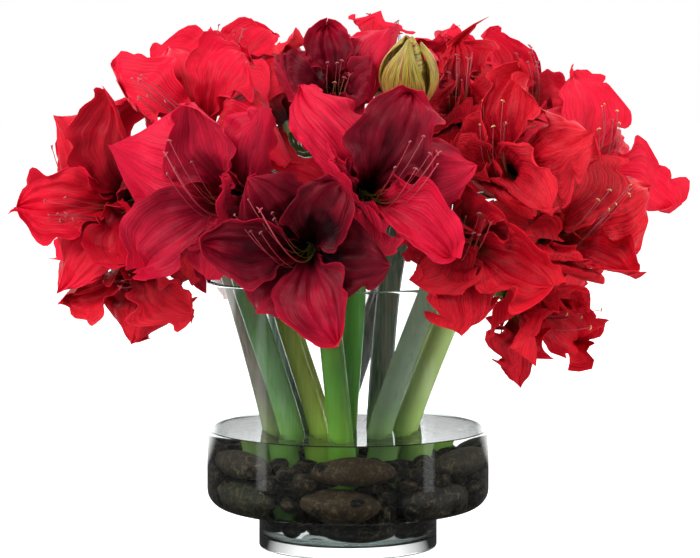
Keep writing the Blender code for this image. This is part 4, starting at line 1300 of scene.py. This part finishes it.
class AMARYLLIS_OT_stage(Operator):
    """Sets the pale floor, the softboxes, the white surround and the camera"""

    bl_idname = "amaryllis.stage"
    bl_label = "Stage"

    def execute(self, context):
        scene = context.scene
        floor = primitive("circle", vertices=96, radius=9, fill_type="NGON", location=(0, 0, -FLOOR_GAP))
        floor.name = "pale_floor"
        # Matt white studio paper, lit until it is as white as the surround. Seen in the glass, it is
        # dark near the front and white behind the vase.
        paper, add = new_material("studio_paper", Roughness=0.9, Emission_Color=linear("#FFFFFF"))
        scattered, mirrored = light_ways(add)
        behind = add("SeparateXYZ", [add("TexCoord")["Object"]])[1]
        front = add("MapRange", [behind, 0.45, 0.6, 1, 0])[0]
        dimmed = add("Math", [mirrored, front], operation="MULTIPLY")[0]
        colour = add("Mix", {0: dimmed, 6: linear("#E8E8E8"), 7: linear("#101010")}, data_type="RGBA")[2]
        dulled = add("Math", [scattered, dimmed], operation="MAXIMUM")[0]
        glow = add("MapRange", [dulled, 0, 1, 1, 0])[0]
        floor.data.materials.append(linked(paper, Base_Color=colour, Emission_Strength=glow))
        self.light_surround(scene)
        for name, place, size, power in LAMPS:
            light = bpy.data.lights.new(name, "AREA")
            light.shape = "RECTANGLE"
            light.size, light.size_y = size
            light.energy = power or scene.amaryllis_colours.key_light
            lamp = placed(name, light)
            lamp.visible_camera = False
            self.aim(lamp, place, LAMP_AIM)
        scene.camera = placed("camera", bpy.data.cameras.new("camera"))
        scene.camera.data.lens, scene.camera.data.sensor_width = CAMERA_LENS, CAMERA_SENSOR
        self.aim(scene.camera, CAMERA_PLACE, CAMERA_AIM)
        scene.view_settings.view_transform = "Standard"
        scene.cycles.use_denoising = True
        scene.cycles.sample_clamp_indirect = 6
        bounces = {"max": 18, "transmission": 16, "transparent_max": 16, "diffuse": 3, "glossy": 6}
        for kind, most in bounces.items():
            setattr(scene.cycles, f"{kind}_bounces", most)
        return {"FINISHED"}

    def aim(self, thing, place, target):
        """Puts a lamp or the camera in its place and turns it to its target."""
        thing.location = place
        thing.rotation_euler = (Vector(target) - Vector(place)).to_track_quat("-Z", "Y").to_euler()

    def light_surround(self, scene):
        """White to the eye and through the glass, and dimmer as a light and in reflections."""
        scene.world = bpy.data.worlds.new("white_surround")
        scene.world.use_nodes = True
        tree = scene.world.node_tree
        tree.nodes.clear()
        add = partial(node, tree)
        behind = add("SeparateXYZ", [add("TexCoord")["Generated"]])[1]
        behind = add("Math", [behind, 0.5, 0.5], operation="MULTIPLY_ADD")[0]
        stops = ((0.78, 0.01), (0.92, 0.5), (0.96, 0.7), (1.0, 1.0))
        studio = add("ValToRGB", [behind], stops=stops)[0]
        studio = add("Math", [studio, 1.7], operation="MULTIPLY")[0]
        scattered, mirrored = light_ways(add)
        strength = add("MapRange", [mirrored, 0, 1, 1, studio])[0]
        strength = add("MapRange", [scattered, 0, 1, strength, 0.12])[0]
        add("OutputWorld", [add("Background", [(1, 1, 1, 1), strength])[0]])


class AMARYLLIS_PT_panel(Panel):
    bl_idname = "AMARYLLIS_PT_panel"
    bl_label = "Amaryllis"
    bl_space_type = "VIEW_3D"
    bl_region_type = "UI"
    bl_category = "Amaryllis"

    def draw(self, context):
        for settings in (context.scene.amaryllis_sizes, context.scene.amaryllis_colours):
            for name in settings.__annotations__:
                self.layout.prop(settings, name)
        for operator in OPERATORS:
            self.layout.operator(operator.bl_idname)


OPERATORS = (
    AMARYLLIS_OT_vase,
    AMARYLLIS_OT_water,
    AMARYLLIS_OT_stones,
    AMARYLLIS_OT_scapes,
    AMARYLLIS_OT_blooms,
    AMARYLLIS_OT_stage,
)
CLASSES = (SizeSettings, ColourSettings, *OPERATORS, AMARYLLIS_PT_panel)


def register():
    for item in CLASSES:
        bpy.utils.register_class(item)
    bpy.types.Scene.amaryllis_sizes = PointerProperty(type=SizeSettings)
    bpy.types.Scene.amaryllis_colours = PointerProperty(type=ColourSettings)


def unregister():
    del bpy.types.Scene.amaryllis_colours
    del bpy.types.Scene.amaryllis_sizes
    for item in reversed(CLASSES):
        bpy.utils.unregister_class(item)


def main():
    register()
    bpy.ops.amaryllis.vase()
    bpy.ops.amaryllis.water()
    bpy.ops.amaryllis.stones()
    bpy.ops.amaryllis.scapes()
    bpy.ops.amaryllis.blooms()
    bpy.ops.amaryllis.stage()


if __name__ == "__main__":
    main()
